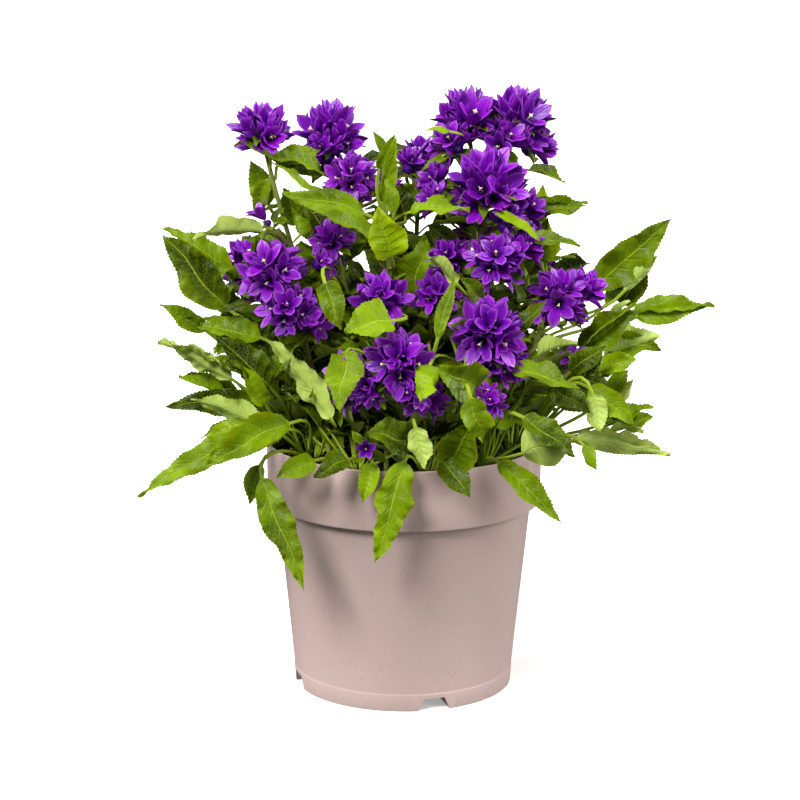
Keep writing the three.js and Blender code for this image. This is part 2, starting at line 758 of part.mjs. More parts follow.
function raiseTuft(tuft, name, turn) {
  const foot = turnedPoint(tuft.foot, turn, [0, 0]);
  const crown = crownSolid(foot);
  greens.set(`tuft_${name}`, { foot, turn, parts: [crown] });
  addObstacle(`tuft_${name}`, crown);
}

// A petiole starts inside the stem a little below its blade, or inside the crown on the blade's side
function rootOf(green, base) {
  if (green.path) {
    const [fx, fy] = green.foot;
    const away = Math.hypot(base.x - fx, base.y - fy);
    return pointAtHeight(green.path, base.z - 4 - 0.25 * away);
  }
  const crown = vec([green.foot[0], green.foot[1], SOIL_TOP + CROWN_HEIGHT - 1.5]);
  const out = base.clone().sub(crown).setZ(0).normalize();
  return crown.addScaledVector(out, CROWN_RADIUS - 2.5);
}

// A leaf by hand, from its row and its plant's turn
function setLeaf(owner, [base, tip, width, arch, face], turn) {
  const angle = THREE.MathUtils.degToRad(face);
  const upper = new THREE.Vector3(0, -Math.sin(angle), Math.cos(angle)).applyAxisAngle(UP, turn);
  const [start, end] = [base, tip].map((p) => vec(p).applyAxisAngle(UP, turn));
  const length = start.distanceTo(end);
  const steps = 2 + Number(length > LONG_BLADE) + Number(length > LARGE_BLADE);
  return { owner, base: start, tip: end, width, arch, upper, turn, steps };
}

// A leaf by rule, which points outwards at an azimuth and rises or falls by a slope
function ruledLeaf(owner, start, azimuth, slope, length, turn) {
  const out = new THREE.Vector3(Math.cos(azimuth), Math.sin(azimuth), 0);
  const along = out.clone().multiplyScalar(Math.cos(slope)).addScaledVector(UP, Math.sin(slope));
  const upper = UP.clone().addScaledVector(out, 0.4);
  const tip = start.clone().addScaledVector(along, length);
  return { owner, base: start, tip, width: 0.36 * length, arch: 0.12 * length, upper, turn, steps: 2 };
}

function stemFill(owner, green, count, draw) {
  const first = draw.next() * 2 * Math.PI;
  return Array.from({ length: count }, (_, i) => {
    const point = green.path.getPoint(lerp(0.15, 0.8, (i + 0.5) / count));
    const azimuth = first + i * GOLDEN_TURN;
    const out = new THREE.Vector3(Math.cos(azimuth), Math.sin(azimuth), 0);
    const start = point.addScaledVector(out, draw.around(11, 3)).addScaledVector(UP, 8);
    return ruledLeaf(owner, start, azimuth, draw.around(0.35, 0.35), draw.around(42, 7), azimuth + Math.PI / 2);
  });
}

function crownFill(owner, green, count, draw) {
  const [x, y] = green.foot;
  return Array.from({ length: count }, (_, i) => {
    const azimuth = Math.atan2(y, x) + lerp(-1, 1, (i + 0.5) / count) + draw.around(0, 0.15);
    const out = new THREE.Vector3(Math.cos(azimuth), Math.sin(azimuth), 0);
    const start = vec([x, y, SOIL_TOP + draw.around(46, 22)]).addScaledVector(out, draw.around(40, 10));
    return ruledLeaf(owner, start, azimuth, draw.around(0, 0.6), draw.around(54, 9), azimuth + Math.PI / 2);
  });
}

// Sets a leaf in the first place where it is clear of everything, or leaves it out
function growLeaf(leaf) {
  const green = greens.get(leaf.owner);
  const others = obstacles.filter((o) => o.owner !== leaf.owner);
  const own = obstacles.filter((o) => o.owner === leaf.owner);
  for (const [baseShift, tipShift] of partings(leaf.turn)) {
    const base = leaf.base.clone().add(baseShift);
    const tried = { ...leaf, base, tip: leaf.tip.clone().add(tipShift), root: rootOf(green, base) };
    const wide = leafSolid(tried, CLEARANCE, false);
    const crossing = meets(wide, others) || meets(leafSolid(tried, CLEARANCE, true), own);
    wide.delete();
    if (crossing) continue;
    const solid = leafSolid(tried, 0, false);
    green.parts.push(solid);
    addObstacle(leaf.owner, solid);
    return;
  }
}

const pot = potSolid();
addObstacle("pot", pot);
const draw = new Draw(11);
const named = (list, name) => list.find((item) => item.name === name);
for (const stem of STEMS) raiseStem(stem, stem.name, 0, draw);
for (const [front, back] of Object.entries(BACK_STEMS)) raiseStem(named(STEMS, front), back, Math.PI, draw);
for (const tuft of TUFTS) raiseTuft(tuft, tuft.name, 0);
for (const [front, back] of Object.entries(BACK_TUFTS)) raiseTuft(named(TUFTS, front), back, Math.PI);

// Leaves set by hand first, then their twins at the back, then those by rule
function allLeaves() {
  const front = [];
  const back = [];
  for (const [list, kind, twins] of [[STEMS, "stem", BACK_STEMS], [TUFTS, "tuft", BACK_TUFTS]]) {
    for (const { name, leaves } of list) {
      for (const row of leaves) {
        front.push(setLeaf(`${kind}_${name}`, row, 0));
        const long = vec(row[0]).distanceTo(vec(row[1])) >= BACK_LEAF;
        const forward = row[1][1] < BACK_LINE;
        if (long && forward && twins[name]) back.push(setLeaf(`${kind}_${twins[name]}`, row, Math.PI));
      }
    }
  }
  const fill = [];
  for (const [owner, green] of greens) {
    if (green.path) fill.push(...stemFill(owner, green, green.turn ? BACK_FILL : FRONT_FILL, draw));
    else if (green.turn) fill.push(...crownFill(owner, green, CROWN_FILL, draw));
  }
  return [...front, ...back, ...fill];
}

for (const leaf of allLeaves()) growLeaf(leaf);

const finishes = {
  pot: new THREE.MeshStandardMaterial({ color: "#c4aca6", roughness: 0.55, metalness: 0 }),
  soil: new THREE.MeshStandardMaterial({ color: "#2b2019", roughness: 1, metalness: 0 }),
  green: new THREE.MeshStandardMaterial({ color: "#5f8f12", roughness: 0.6, metalness: 0 }),
  petal: new THREE.MeshStandardMaterial({ color: "#6a12c4", roughness: 0.5, metalness: 0 }),
};

const plant = new THREE.Group();
plant.add(meshOf("pot", pot, finishes.pot));
const holes = [...greens.values()].map(({ foot, path }) => {
  return { foot, radius: path ? HOLE_RADIUS : CROWN_RADIUS + GAP };
});
plant.add(meshOf("soil", soilSolid(holes), finishes.soil));
for (const [name, green] of greens) {
  const solid = green.parts.reduce((whole, part) => whole.add(part)).simplify(WELD);
  plant.add(meshOf(name, solid, finishes.green));
}
for (const [name, bloom] of blooms) plant.add(meshOf(`head_${name}`, bloom, finishes.petal));

export default plant;
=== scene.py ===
"""A clustered bellflower growing in a plastic nursery pot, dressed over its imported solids.

Every piece is built in millimetres about the pot's axis, with +Z up and the plant's front
towards -Y, and is scaled to metres once, when its mesh is handed to Blender.
"""

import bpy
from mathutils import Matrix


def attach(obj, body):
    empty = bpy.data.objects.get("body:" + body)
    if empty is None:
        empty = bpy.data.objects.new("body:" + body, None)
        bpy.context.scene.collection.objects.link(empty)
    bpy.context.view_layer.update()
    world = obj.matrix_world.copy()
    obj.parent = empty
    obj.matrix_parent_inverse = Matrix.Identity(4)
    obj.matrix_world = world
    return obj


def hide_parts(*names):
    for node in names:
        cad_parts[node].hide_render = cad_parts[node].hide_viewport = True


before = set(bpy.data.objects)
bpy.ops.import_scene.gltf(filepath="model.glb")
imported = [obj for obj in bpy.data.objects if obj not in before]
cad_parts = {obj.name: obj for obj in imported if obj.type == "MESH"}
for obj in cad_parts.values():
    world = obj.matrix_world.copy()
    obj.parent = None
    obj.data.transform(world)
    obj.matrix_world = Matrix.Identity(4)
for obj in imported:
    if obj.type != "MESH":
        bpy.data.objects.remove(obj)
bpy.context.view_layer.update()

import logging
import math
from collections.abc import Callable, Iterable
from dataclasses import dataclass, field, replace
from enum import Enum

import bmesh
import bpy
from mathutils import Matrix, Quaternion, Vector
from mathutils.kdtree import KDTree

log = logging.getLogger("bellflower")

Point = tuple[float, float, float]
Pair = tuple[float, float]

METRES = 0.001
UP = Vector((0.0, 0.0, 1.0))
BODY = "root"
# Shares nearer than the first are the same, and corners nearer than the second merge
SAME = 1e-4
WELD = 1e-5

# Sizes shared by several pieces, in millimetres
POT_HEIGHT = 172.5
RIM_RADIUS = 95.0
COLLAR_HEIGHT = 41.5
SHOULDER_RADIUS = 88.0
FOOT_RADIUS = 75.6
FOOT_BAND = 12.0
WALL = 2.2
GAP = 0.3
SOIL_TOP = 161.0
ROOT_DEPTH = 20.0
CROWN_RADIUS = 5.0
CROWN_HEIGHT = 5.0
STEM_RADIUS = 1.8
BRANCH_RADIUS = 1.4
PETIOLE_WIDTH = 2.4
RIB_THICKNESS = 1.6
BLADE_FOLD = 0.3

# A stalk's ribs, as deep as a share of its radius, and a curve's handles, as a share of its span
STALK_RIBS = 5
STALK_RIB = 0.05
HANDLE = 0.35

# Leaves in each other's way part along the line of sight from the front
SIGHT = Vector((0.0, 0.976, -0.218))
SIGHT_STEP = 5.0

# A head's core, as a share of its reach, the distance from its middle to the tips of its lobes. Its
# corners stand out further than its faces, a lean makes it full above and flat below, and the last is
# the angle in radians from the middle of its bottom face to that face's corners
CORE_SHARE = 0.24
CORE_CORNERS = 1.2584
CORE_LEAN = 0.237
BOTTOM_CORNER = 0.6524

# A bell's lobes: where their tips and the slits between them are, as shares of its size
LOBES = 5
TIP_RISE = 0.93
TIP_SPREAD = 0.4
SHUT_SPREAD = 0.2
SLIT_RISE = 0.62
SLIT_SPREAD = 0.25
LOBE_KEEL = 0.035

# The back repeats the front's stems, drifted a little and with fewer bells, and those of its leaves
# that are at least this long and end in front of this line
BACK_DRIFT = 5.0
BACK_FLORETS = 7
BACK_LEAF = 34.0
BACK_LINE = -25.0

# Leaves set by rule: on each front stem, back stem and back crown, and inside the plant by each of them
GOLDEN_TURN = 2.39996
FRONT_FILL = 1
BACK_FILL = 3
CROWN_FILL = 3
THICKET = 27

# A leaf is found when a corner of its solid is this near, and the leaves inside the plant reach out
# as far as these heights and distances from the axis
MATCH = 0.15
OUTLINE = ((164, 106), (190, 134), (240, 150), (280, 142), (320, 112), (352, 90), (384, 50))


class Tissue(Enum):
    """The material slots of a piece of stems and leaves, and of a head of bells."""

    LEAF = 0
    STEM = 1
    PETAL = 0
    STIGMA = 1


class Opening(Enum):
    """How far a bell has opened."""

    OPEN = "open"
    CLOSED = "closed"


class Draw:
    """Even draws from 0 to 1, the same on every run."""

    def __init__(self, seed: int) -> None:
        """Starts the row of draws at a seed."""
        self.state = seed

    def next(self) -> float:
        """Returns the next draw."""
        self.state = (self.state * 1664525 + 1013904223) % 4294967296
        return self.state / 4294967296

    def around(self, middle: float, spread: float) -> float:
        """Returns a draw within a spread either side of a middle."""
        return middle + spread * (2 * self.next() - 1)


# The draws that only the dressing takes, so that the solids' own draws stay in step
LOOKS = Draw(101)


class Curve:
    """A Bezier curve of two or three spans through millimetre points."""

    def __init__(self, *controls: Vector) -> None:
        """Keeps the control points, three or four of them."""
        self.controls = list(controls)

    def point(self, t: float) -> Vector:
        """Returns the point at a share of the way along."""
        points = self.controls
        while len(points) > 1:
            points = [a.lerp(b, t) for a, b in zip(points, points[1:])]
        return points[0].copy()

    def tangent(self, t: float) -> Vector:
        """Returns the direction of travel at a share of the way along."""
        low, high = max(t - SAME, 0.0), min(t + SAME, 1.0)
        return (self.point(high) - self.point(low)).normalized()


def turned(point: Vector, turn: float) -> Vector:
    """Turns a point about the pot's axis.

    Args:
        point: the point, in millimetres.
        turn: the angle, in radians.

    Returns:
        The turned point.
    """
    return Matrix.Rotation(turn, 3, "Z") @ point


def linear(hex_colour: str) -> tuple[float, float, float, float]:
    """Turns an sRGB hex colour into the linear values that shaders take.

    Args:
        hex_colour: six hex digits after a hash.

    Returns:
        Linear red, green and blue, and an alpha of one.
    """
    shares = [int(hex_colour[i : i + 2], 16) / 255 for i in (1, 3, 5)]
    return (*(s / 12.92 if s <= 0.04045 else ((s + 0.055) / 1.055) ** 2.4 for s in shares), 1.0)


def warp_tube(
    bm: bmesh.types.BMesh,
    rows: int,
    around: int,
    shape: Callable[[float, float], Vector],
    chart: Callable[[float, float], Pair],
    slot: int = 0,
    tint: float = 0.5,
    margins: tuple[float, ...] = (),
    rims: tuple[float, ...] = (),
    is_blade: bool = False,
) -> None:
    """Warps a flat grid into a closed tube and merges its seam and its poles.

    Args:
        bm: the mesh that the tube is added to.
        rows: faces along the tube.
        around: faces round the tube.
        shape: the place of a point from its shares along and around.
        chart: the UV of a point from the same two shares.
        slot: the material slot of the tube's faces.
        tint: a number that varies the finish from one tube to the next.
        margins: shares around at which the surface folds over in a sharp edge.
        rims: shares along at which it does.
        is_blade: whether its halves are the two faces of a blade, which are then split into
            triangles alike, so that they never cross.
    """
    uv = bm.loops.layers.uv.verify()
    layers = bm.verts.layers.float
    tints, unders = (layers.get(name) or layers.new(name) for name in ("tint", "under"))
    verts = bmesh.ops.create_grid(bm, x_segments=rows, y_segments=around, size=1.0)["verts"]
    spots = {vert: ((vert.co.x + 1) / 2, (vert.co.y + 1) / 2) for vert in verts}
    edges = dict.fromkeys(edge for vert in verts for edge in vert.link_edges)
    faces = dict.fromkeys(face for vert in verts for face in vert.link_faces)
    for vert, (u, v) in spots.items():
        vert.co = shape(u, v)
        vert[tints] = tint
        vert[unders] = 0.5 if min(v, 1 - v, abs(v - 0.5)) < SAME else float(v > 0.5)
    folds = [(0, rim) for rim in rims] + [(1, margin) for margin in margins]
    for edge in edges:
        ends = [spots[vert] for vert in edge.verts]
        edge.smooth = not any(all(abs(end[k] - fold) < SAME for end in ends) for k, fold in folds)
    for face in faces:
        face.smooth = True
        face.material_index = slot
        for loop in face.loops:
            loop[uv].uv = chart(*spots[loop.vert])
    for face in faces if is_blade else ():
        corners = sorted(face.verts, key=lambda vert: spots[vert])
        is_upper = spots[corners[0]][1] + spots[corners[3]][1] < 1
        a, b = (corners[0], corners[3]) if is_upper else (corners[1], corners[2])
        bmesh.utils.face_split(face, a, b)
    bmesh.ops.remove_doubles(bm, verts=verts, dist=WELD)


def finish_mesh(
    bm: bmesh.types.BMesh, name: str, materials: Iterable[bpy.types.Material]
) -> bpy.types.Object:
    """Turns a millimetre mesh into an object in metres, with its faces pointing out.

    Args:
        bm: the mesh, which is freed.
        name: the object's name.
        materials: its materials, in slot order.

    Returns:
        The object, linked to the scene.
    """
    bmesh.ops.recalc_face_normals(bm, faces=bm.faces)
    bm.transform(Matrix.Scale(METRES, 4))
    mesh = bpy.data.meshes.new(name)
    bm.to_mesh(mesh)
    bm.free()
    for material in materials:
        mesh.materials.append(material)
    piece = bpy.data.objects.new(name, mesh)
    bpy.context.scene.collection.objects.link(piece)
    return piece


def declare(piece: bpy.types.Object, slot: str, nodes: Iterable[str] = ()) -> None:
    """Ties a finished piece to its body, hides the solids that it stands for, and logs it with its
    material slot.

    Args:
        piece: the piece.
        slot: the name of its material slot, which is logged.
        nodes: the solids that it stands for.
    """
    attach(piece, BODY)
    for node in nodes:
        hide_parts(node)
    log.info("%s: %d faces, slot %s", piece.name, len(piece.data.polygons), slot)


LeafRow = tuple[Point, Point, float, float, float]
ClusterRow = tuple[Point, Point, float, int]


@dataclass(frozen=True)
class Stem:
    """A leafy stem as it is set out: its foot, its heads and its leaves."""

    name: str
    foot: Pair
    heads: tuple[tuple[ClusterRow, ...], ...] = ()
    leaves: tuple[LeafRow, ...] = ()
    top: Point | None = None


@dataclass(frozen=True)
class Tuft:
    """A tuft of leaves as it is set out: its crown's foot and its leaves."""

    name: str
    foot: Pair
    leaves: tuple[LeafRow, ...] = ()


# The plant's front half, as its solids hold it. A cluster is (middle, axis, reach, florets), and a leaf is
# (blade's base, tip, width, arch, face), with face the angle from facing up towards facing the front.
STEMS = (
    Stem(
        "01",
        foot=(-48, -18),
        heads=(
            (((-95, -30, 388), (-0.15, -0.1, 1), 23, 9),),
            (((-91, -37, 328), (-0.75, -0.1, 0.9), 19, 1),),
        ),
        leaves=(
            ((-94, -38, 322), (-139, -60, 320), 17, 7, -50),
            ((-84, -26, 366), (-57, -18, 374), 15, 4, 55),
            ((-92, -24, 355), (-101, -20, 330), 11, 3, 60),
        ),
    ),
    Stem(
        "02",
        foot=(-25, 12),
        heads=(
            (((-51, 4, 381), (-0.1, -0.2, 1), 27, 9),),
            (((-37, -26, 355), (0.1, -0.7, 0.7), 22, 8),),
            (((-13, -8, 350), (0.3, -0.3, 0.9), 15, 4),),
        ),
        leaves=(
            ((-12, -5, 366), (-22, -10, 386), 9, 2, 60),
            ((-49, -45, 339), (-88, -60, 372), 9, 4, 30),
            ((-57, -30, 361), (-93, -45, 374), 17, 5, 40),
            ((-51, -20, 314), (-78, -15, 340), 24, 4, 60),
        ),
    ),
    Stem(
        "03",
        foot=(2, 22),
        heads=(
            (((9, 16, 361), (0, -0.2, 1), 22, 3),),
        ),
        leaves=(
            ((12, 8, 340), (-14, -14, 346), 14, 4, 40),
            ((18, 14, 330), (38, 24, 352), 16, 3, 50),
        ),
    ),
    Stem(
        "04",
        foot=(46, 6),
        heads=(
            (
                ((41, 4, 391), (-0.2, -0.1, 1), 27, 9),
                ((76, 8, 392), (0.25, -0.1, 1), 27, 9),
                ((84, 6, 373), (0.8, -0.2, 0.5), 21, 4),
            ),
        ),
        leaves=(
            ((36, -10, 371), (10, -25, 361), 10, 3, 30),
            ((29, -25, 388), (13, -30, 389), 8, 1, 30),
            ((83, -5, 360), (107, -10, 352), 11, 3, 40),
            ((83, -5, 337), (123, -10, 338), 12, 5, 30),
        ),
    ),
    Stem(
        "05",
        foot=(26, -10),
        heads=(
            (((55, -32, 350), (0.05, -0.4, 0.9), 31, 10),),
            (((22, -34, 342), (-0.7, -0.6, 0.3), 17, 4),),
            (((59, -62, 306), (0, -0.8, 0.7), 24, 8),),
        ),
        leaves=(
            ((61, -50, 337), (89, -60, 320), 10, 4, 40),
            ((76, -40, 316), (116, -45, 315), 12, 6, 30),
            ((33, -95, 298), (14, -100, 317), 14, 3, -50),
            ((50, -85, 285), (35, -95, 302), 12, 3, 60),
        ),
    ),
    Stem(
        "06",
        foot=(-50, -43),
        heads=(
            (
                ((-87, -55, 295), (-0.35, -0.6, 0.75), 28, 9),
                ((-77, -66, 274), (0, -0.8, 0.5), 22, 7),
            ),
        ),
        leaves=(
            ((-120, -35, 271), (-163, -25, 318), 26, 7, 75),
            ((-48, -85, 206), (-91, -70, 257), 20, 8, -60),
            ((-100, -40, 262), (-126, -52, 240), 17, 4, 50),
        ),
    ),
    Stem(
        "07",
        foot=(-28, -12),
        heads=(
            (((-49, -25, 313), (-0.3, -0.5, 0.8), 18, 7),),
        ),
        leaves=(
            ((-14, -110, 276), (-44, -125, 272), 27, 6, 60),
            ((-52, -85, 296), (-41, -100, 268), 17, 4, 80),
        ),
    ),
    Stem(
        "08",
        foot=(-12, -44),
        heads=(
            (((-15, -68, 279), (-0.1, -0.7, 0.7), 24, 8),),
        ),
    ),
    Stem(
        "09",
        foot=(14, -34),
        heads=(
            (((21, -50, 281), (0.2, -0.7, 0.7), 20, 8),),
        ),
        leaves=(
            ((21, -115, 266), (32, -100, 305), 9, 3, 40),
        ),
    ),
    Stem(
        "10",
        foot=(32, -52),
        heads=(
            (((54, -92, 264), (0.15, -0.8, 0.6), 30, 10),),
            (((54, -104, 222), (0.1, -0.9, 0.4), 15, 6),),
        ),
        leaves=(
            ((47, -112, 233), (20, -125, 250), 26, 5, 80),
            ((16, -118, 259), (10, -128, 237), 17, 4, 80),
        ),
    ),
    Stem(
        "11",
        foot=(56, -26),
        heads=(
            (((103, -45, 278), (0.3, -0.6, 0.75), 26, 9),),
            (((113, -46, 236), (0.5, -0.7, 0.4), 14, 5),),
        ),
        leaves=(
            ((131, 10, 278), (181, 5, 326), 26, 8, 70),
            ((84, -5, 288), (97, 0, 327), 17, 4, 70),
            ((91, 0, 324), (93, -5, 351), 11, 2, 60),
            ((105, 35, 282), (129, 35, 290), 15, 3, 40),
            ((139, 15, 265), (168, 20, 294), 13, 4, 40),
            ((70, -95, 241), (113, -105, 231), 17, 5, 50),
            ((87, -85, 249), (112, -90, 258), 15, 3, -40),
            ((74, -75, 262), (92, -75, 283), 13, 2, 50),
        ),
    ),
    Stem(
        "12",
        foot=(0, -64),
        heads=(
            (
                ((-3, -108, 248), (0, -0.8, 0.5), 26, 9),
                ((-21, -111, 234), (-0.4, -0.8, 0.1), 19, 4),
                ((8, -111, 231), (0.3, -0.8, 0), 19, 4),
            ),
            (((-24, -98, 190), (-0.1, -1, 0.1), 17, 1),),
        ),
        leaves=(
            ((-38, -110, 256), (-41, -125, 220), 23, 5, 70),
        ),
    ),
    Stem(
        "13",
        foot=(-4, -22),
        top=(-13, -50, 344),
        leaves=(
            ((-9, -78, 312), (-18, -84, 346), 24, 4, 90),
            ((-15, -50, 344), (-6, -55, 389), 10, 3, 60),
            ((-27, -60, 338), (-82, -65, 352), 17, 6, 55),
            ((3, -52, 338), (42, -60, 340), 13, 4, 30),
            ((-21, -62, 321), (-59, -75, 341), 14, 4, 40),
            ((-8, -58, 338), (-13, -55, 363), 10, 2, 60),
            ((7, -30, 279), (13, -25, 319), 26, 4, 70),
            ((-30, -42, 330), (-10, -60, 338), 13, 4, 30),
        ),
    ),
)

# Tufts of long-stalked leaves that grow from crowns on the soil
TUFTS = (
    Tuft(
        "01",
        foot=(-62, -35),
        leaves=(
            ((-92, -70, 195), (-175, -95, 155), 19, 12, 45),
            ((-93, -95, 168), (-65, -120, 99), 20, 6, 80),
            ((-80, -85, 198), (-129, -105, 182), 20, 10, 50),
            ((-88, -62, 193), (-141, -75, 216), 16, 6, -60),
            ((-101, -20, 187), (-139, -20, 177), 14, 5, 30),
            ((-96, -50, 166), (-103, -50, 139), 13, 3, 60),
        ),
    ),
    Tuft(
        "02",
        foot=(-30, -68),
        leaves=(
            ((2, -100, 195), (-25, -118, 204), 24, 5, 70),
            ((-59, -95, 180), (-83, -105, 171), 15, 4, 60),
            ((-37, -100, 182), (-59, -112, 173), 15, 4, 60),
            ((-21, -95, 178), (-27, -108, 155), 13, 3, 70),
        ),
    ),
    Tuft(
        "03",
        foot=(15, -76),
        leaves=(
            ((0, -105, 182), (-19, -122, 118), 23, 6, 85),
            ((31, -100, 181), (45, -110, 213), 26, 4, 80),
            ((7, -118, 208), (13, -125, 182), 16, 3, -70),
            ((25, -98, 182), (43, -112, 160), 17, 4, 75),
        ),
    ),
    Tuft(
        "04",
        foot=(50, -56),
        leaves=(
            ((62, -90, 178), (103, -105, 141), 16, 7, 60),
            ((76, -105, 188), (108, -115, 196), 29, 4, -70),
            ((42, -120, 228), (50, -128, 202), 19, 4, 80),
            ((95, -75, 226), (121, -80, 209), 17, 5, 55),
            ((77, -105, 212), (110, -110, 187), 18, 5, 60),
        ),
    ),
    Tuft(
        "05",
        foot=(73, -11),
        leaves=(
            ((112, -60, 186), (178, -60, 176), 14, 8, -35),
            ((156, -5, 264), (210, -15, 269), 13, 7, 40),
            ((136, -20, 243), (173, -30, 242), 17, 5, 50),
            ((118, -35, 243), (155, -40, 275), 15, 6, 30),
            ((122, -70, 224), (151, -80, 201), 17, 6, 60),
            ((135, -20, 222), (158, -20, 238), 17, 3, 45),
            ((110, -60, 233), (133, -60, 250), 15, 3, 50),
            ((137, -20, 182), (170, -20, 195), 13, 4, 30),
            ((123, -85, 223), (128, -95, 200), 15, 4, -60),
        ),
    ),
    Tuft(
        "06",
        foot=(-76, 4),
        leaves=(
            ((-118, 5, 281), (-168, 15, 316), 16, 12, 20),
            ((-94, -40, 247), (-137, -45, 262), 20, 6, 60),
            ((-123, -30, 226), (-166, -35, 247), 15, 6, -30),
            ((-132, 0, 246), (-167, -5, 267), 13, 4, 20),
            ((-101, -30, 205), (-160, -50, 205), 18, 7, 60),
            ((-114, -5, 203), (-155, -5, 216), 14, 5, 30),
        ),
    ),
)

BACK_STEMS = {"10": "17", "11": "18", "12": "19", "06": "14", "07": "15", "08": "16"}
BACK_TUFTS = {"01": "07", "02": "08", "03": "09", "04": "10"}

# Smaller clusters that only the dressing has, beside those of the solids: stem, head, middle, axis, reach
# and florets
FURTHER_CLUSTERS = (
    ("02", "02a", (-54, -6, 368), (-0.2, -0.6, 0.6), 22.0, 5),
    ("03", "03a", (2, 0, 360), (0.2, -0.5, 0.6), 17.0, 4),
    ("04", "04a", (33, -6, 374), (-0.3, -0.6, 0.6), 23.0, 5),
    ("04", "04a", (66, -2, 376), (0.3, -0.6, 0.6), 24.0, 5),
    ("05", "05b", (23, -22, 352), (-0.6, -0.5, 0.5), 19.0, 4),
    ("05", "05b", (31, -40, 303), (-0.3, -0.7, 0.6), 20.0, 6),
    ("05", "05c", (76, -42, 310), (0.6, -0.5, 0.6), 20.0, 5),
    ("05", "05a", (77, -24, 334), (0.7, -0.3, 0.5), 20.0, 4),
    ("06", "06a", (-66, -62, 264), (0.2, -0.7, 0.5), 21.0, 5),
    ("10", "10b", (64, -84, 242), (0.5, -0.8, 0.3), 21.0, 5),
    ("11", "11a", (116, -42, 281), (0.6, -0.5, 0.6), 20.0, 4),
    ("12", "12a", (-30, -98, 228), (-0.5, -0.8, 0.2), 21.0, 6),
    ("12", "12a", (12, -98, 222), (0.3, -0.9, 0.1), 20.0, 5),
    ("05", "05c", (66, -40, 327), (0.1, -0.6, 0.7), 19.0, 4),
    ("12", "12a", (-36, -96, 238), (-0.6, -0.7, 0.3), 19.0, 4),
    ("10", "10b", (54, -88, 240), (0.1, -0.8, 0.4), 20.0, 5),
    ("07", "07a", (-58, -48, 302), (0.3, -0.7, 0.4), 15.0, 3),
)

# Smaller leaves that only the dressing has, between those of the solids: green, leaf and age
FURTHER_LEAVES = (
    ("stem_11", ((150, 0, 277), (173, 0, 302), 10, 3, -60), 0.6),
    ("stem_11", ((150, 18, 264), (167, 18, 291), 17, 4, 60), 0.15),
    ("tuft_05", ((136, -25, 260), (152, -25, 274), 9, 3, -50), 0.5),
    ("tuft_05", ((120, -30, 244), (157, -40, 271), 20, 5, 65), 0.4),
    ("tuft_05", ((135, -30, 237), (172, -32, 251), 23, 6, -60), 0.6),
    ("tuft_05", ((129, -45, 231), (156, -50, 240), 14, 4, 50), 0.75),
    ("tuft_05", ((139, -30, 213), (151, -30, 228), 13, 3, 60), 0.5),
    ("tuft_05", ((148, -20, 203), (156, -20, 220), 9, 2, -60), 0.6),
    ("tuft_05", ((122, -60, 222), (152, -70, 198), 17, 5, 60), 0.12),
    ("tuft_05", ((95, -82, 228), (121, -92, 212), 17, 4, 60), 0.1),
    ("tuft_05", ((151, -30, 186), (169, -30, 196), 11, 3, 40), 0.6),
    ("tuft_05", ((137, -50, 190), (159, -50, 192), 10, 3, -50), 0.6),
    ("tuft_04", ((119, -75, 186), (127, -82, 171), 9, 3, 60), 0.7),
    ("tuft_05", ((110, -60, 218), (131, -60, 248), 24, 5, 70), 0.12),
    ("stem_11", ((96, 5, 296), (95, 5, 327), 15, 4, 80), 0.95),
    ("stem_06", ((-100, -50, 278), (-122, -50, 270), 8, 3, 50), 0.1),
    ("tuft_06", ((-96, -50, 253), (-139, -45, 259), 19, 5, 55), 0.55),
    ("tuft_06", ((-89, -60, 221), (-126, -66, 258), 22, 6, 60), 0.12),
    ("tuft_06", ((-92, -70, 212), (-107, -74, 239), 13, 3, 60), 0.75),
    ("tuft_06", ((-123, -20, 208), (-154, -20, 219), 11, 3, 45), 0.7),
    ("tuft_06", ((-102, -60, 196), (-135, -62, 185), 13, 4, 50), 0.8),
    ("tuft_01", ((-75, -95, 205), (-128, -112, 182), 21, 6, 55), 0.45),
    ("stem_06", ((-96, -20, 298), (-100, -20, 317), 15, 3, 70), 0.2),
    ("stem_01", ((-92, -15, 337), (-104, -15, 367), 16, 3, 70), 0.45),
    ("stem_02", ((-71, -10, 323), (-82, -10, 348), 17, 4, 70), 0.15),
    ("stem_01", ((-91, -32, 374), (-106, -38, 381), 11, 3, 50), 0.4),
    ("stem_13", ((-17, -52, 366), (-7, -52, 389), 9, 2, 60), 0.4),
    ("tuft_06", ((-117, -32, 221), (-164, -36, 247), 15, 4, -75), 0.6),
    ("tuft_06", ((-136, -6, 249), (-166, -6, 267), 13, 4, 60), 0.45),
    ("tuft_05", ((112, -64, 187), (176, -62, 177), 14, 6, -72), 0.6),
    ("tuft_05", ((158, -8, 260), (206, -14, 269), 14, 5, 70), 0.7),
    ("stem_02", ((-56, -24, 360), (-91, -30, 371), 15, 4, 60), 0.25),
    ("stem_13", ((-7, -22, 290), (-28, -22, 308), 19, 3, 70), 0.12),
    ("stem_13", ((0, -16, 330), (-8, -16, 352), 15, 3, 70), 0.1),
    ("stem_02", ((-50, -22, 316), (-68, -22, 339), 19, 3, 70), 0.15),
    ("stem_05", ((33, -20, 310), (15, -20, 325), 15, 3, 70), 0.1),
    ("stem_04", ((89, -12, 331), (122, -12, 337), 15, 4, 45), 0.3),
)

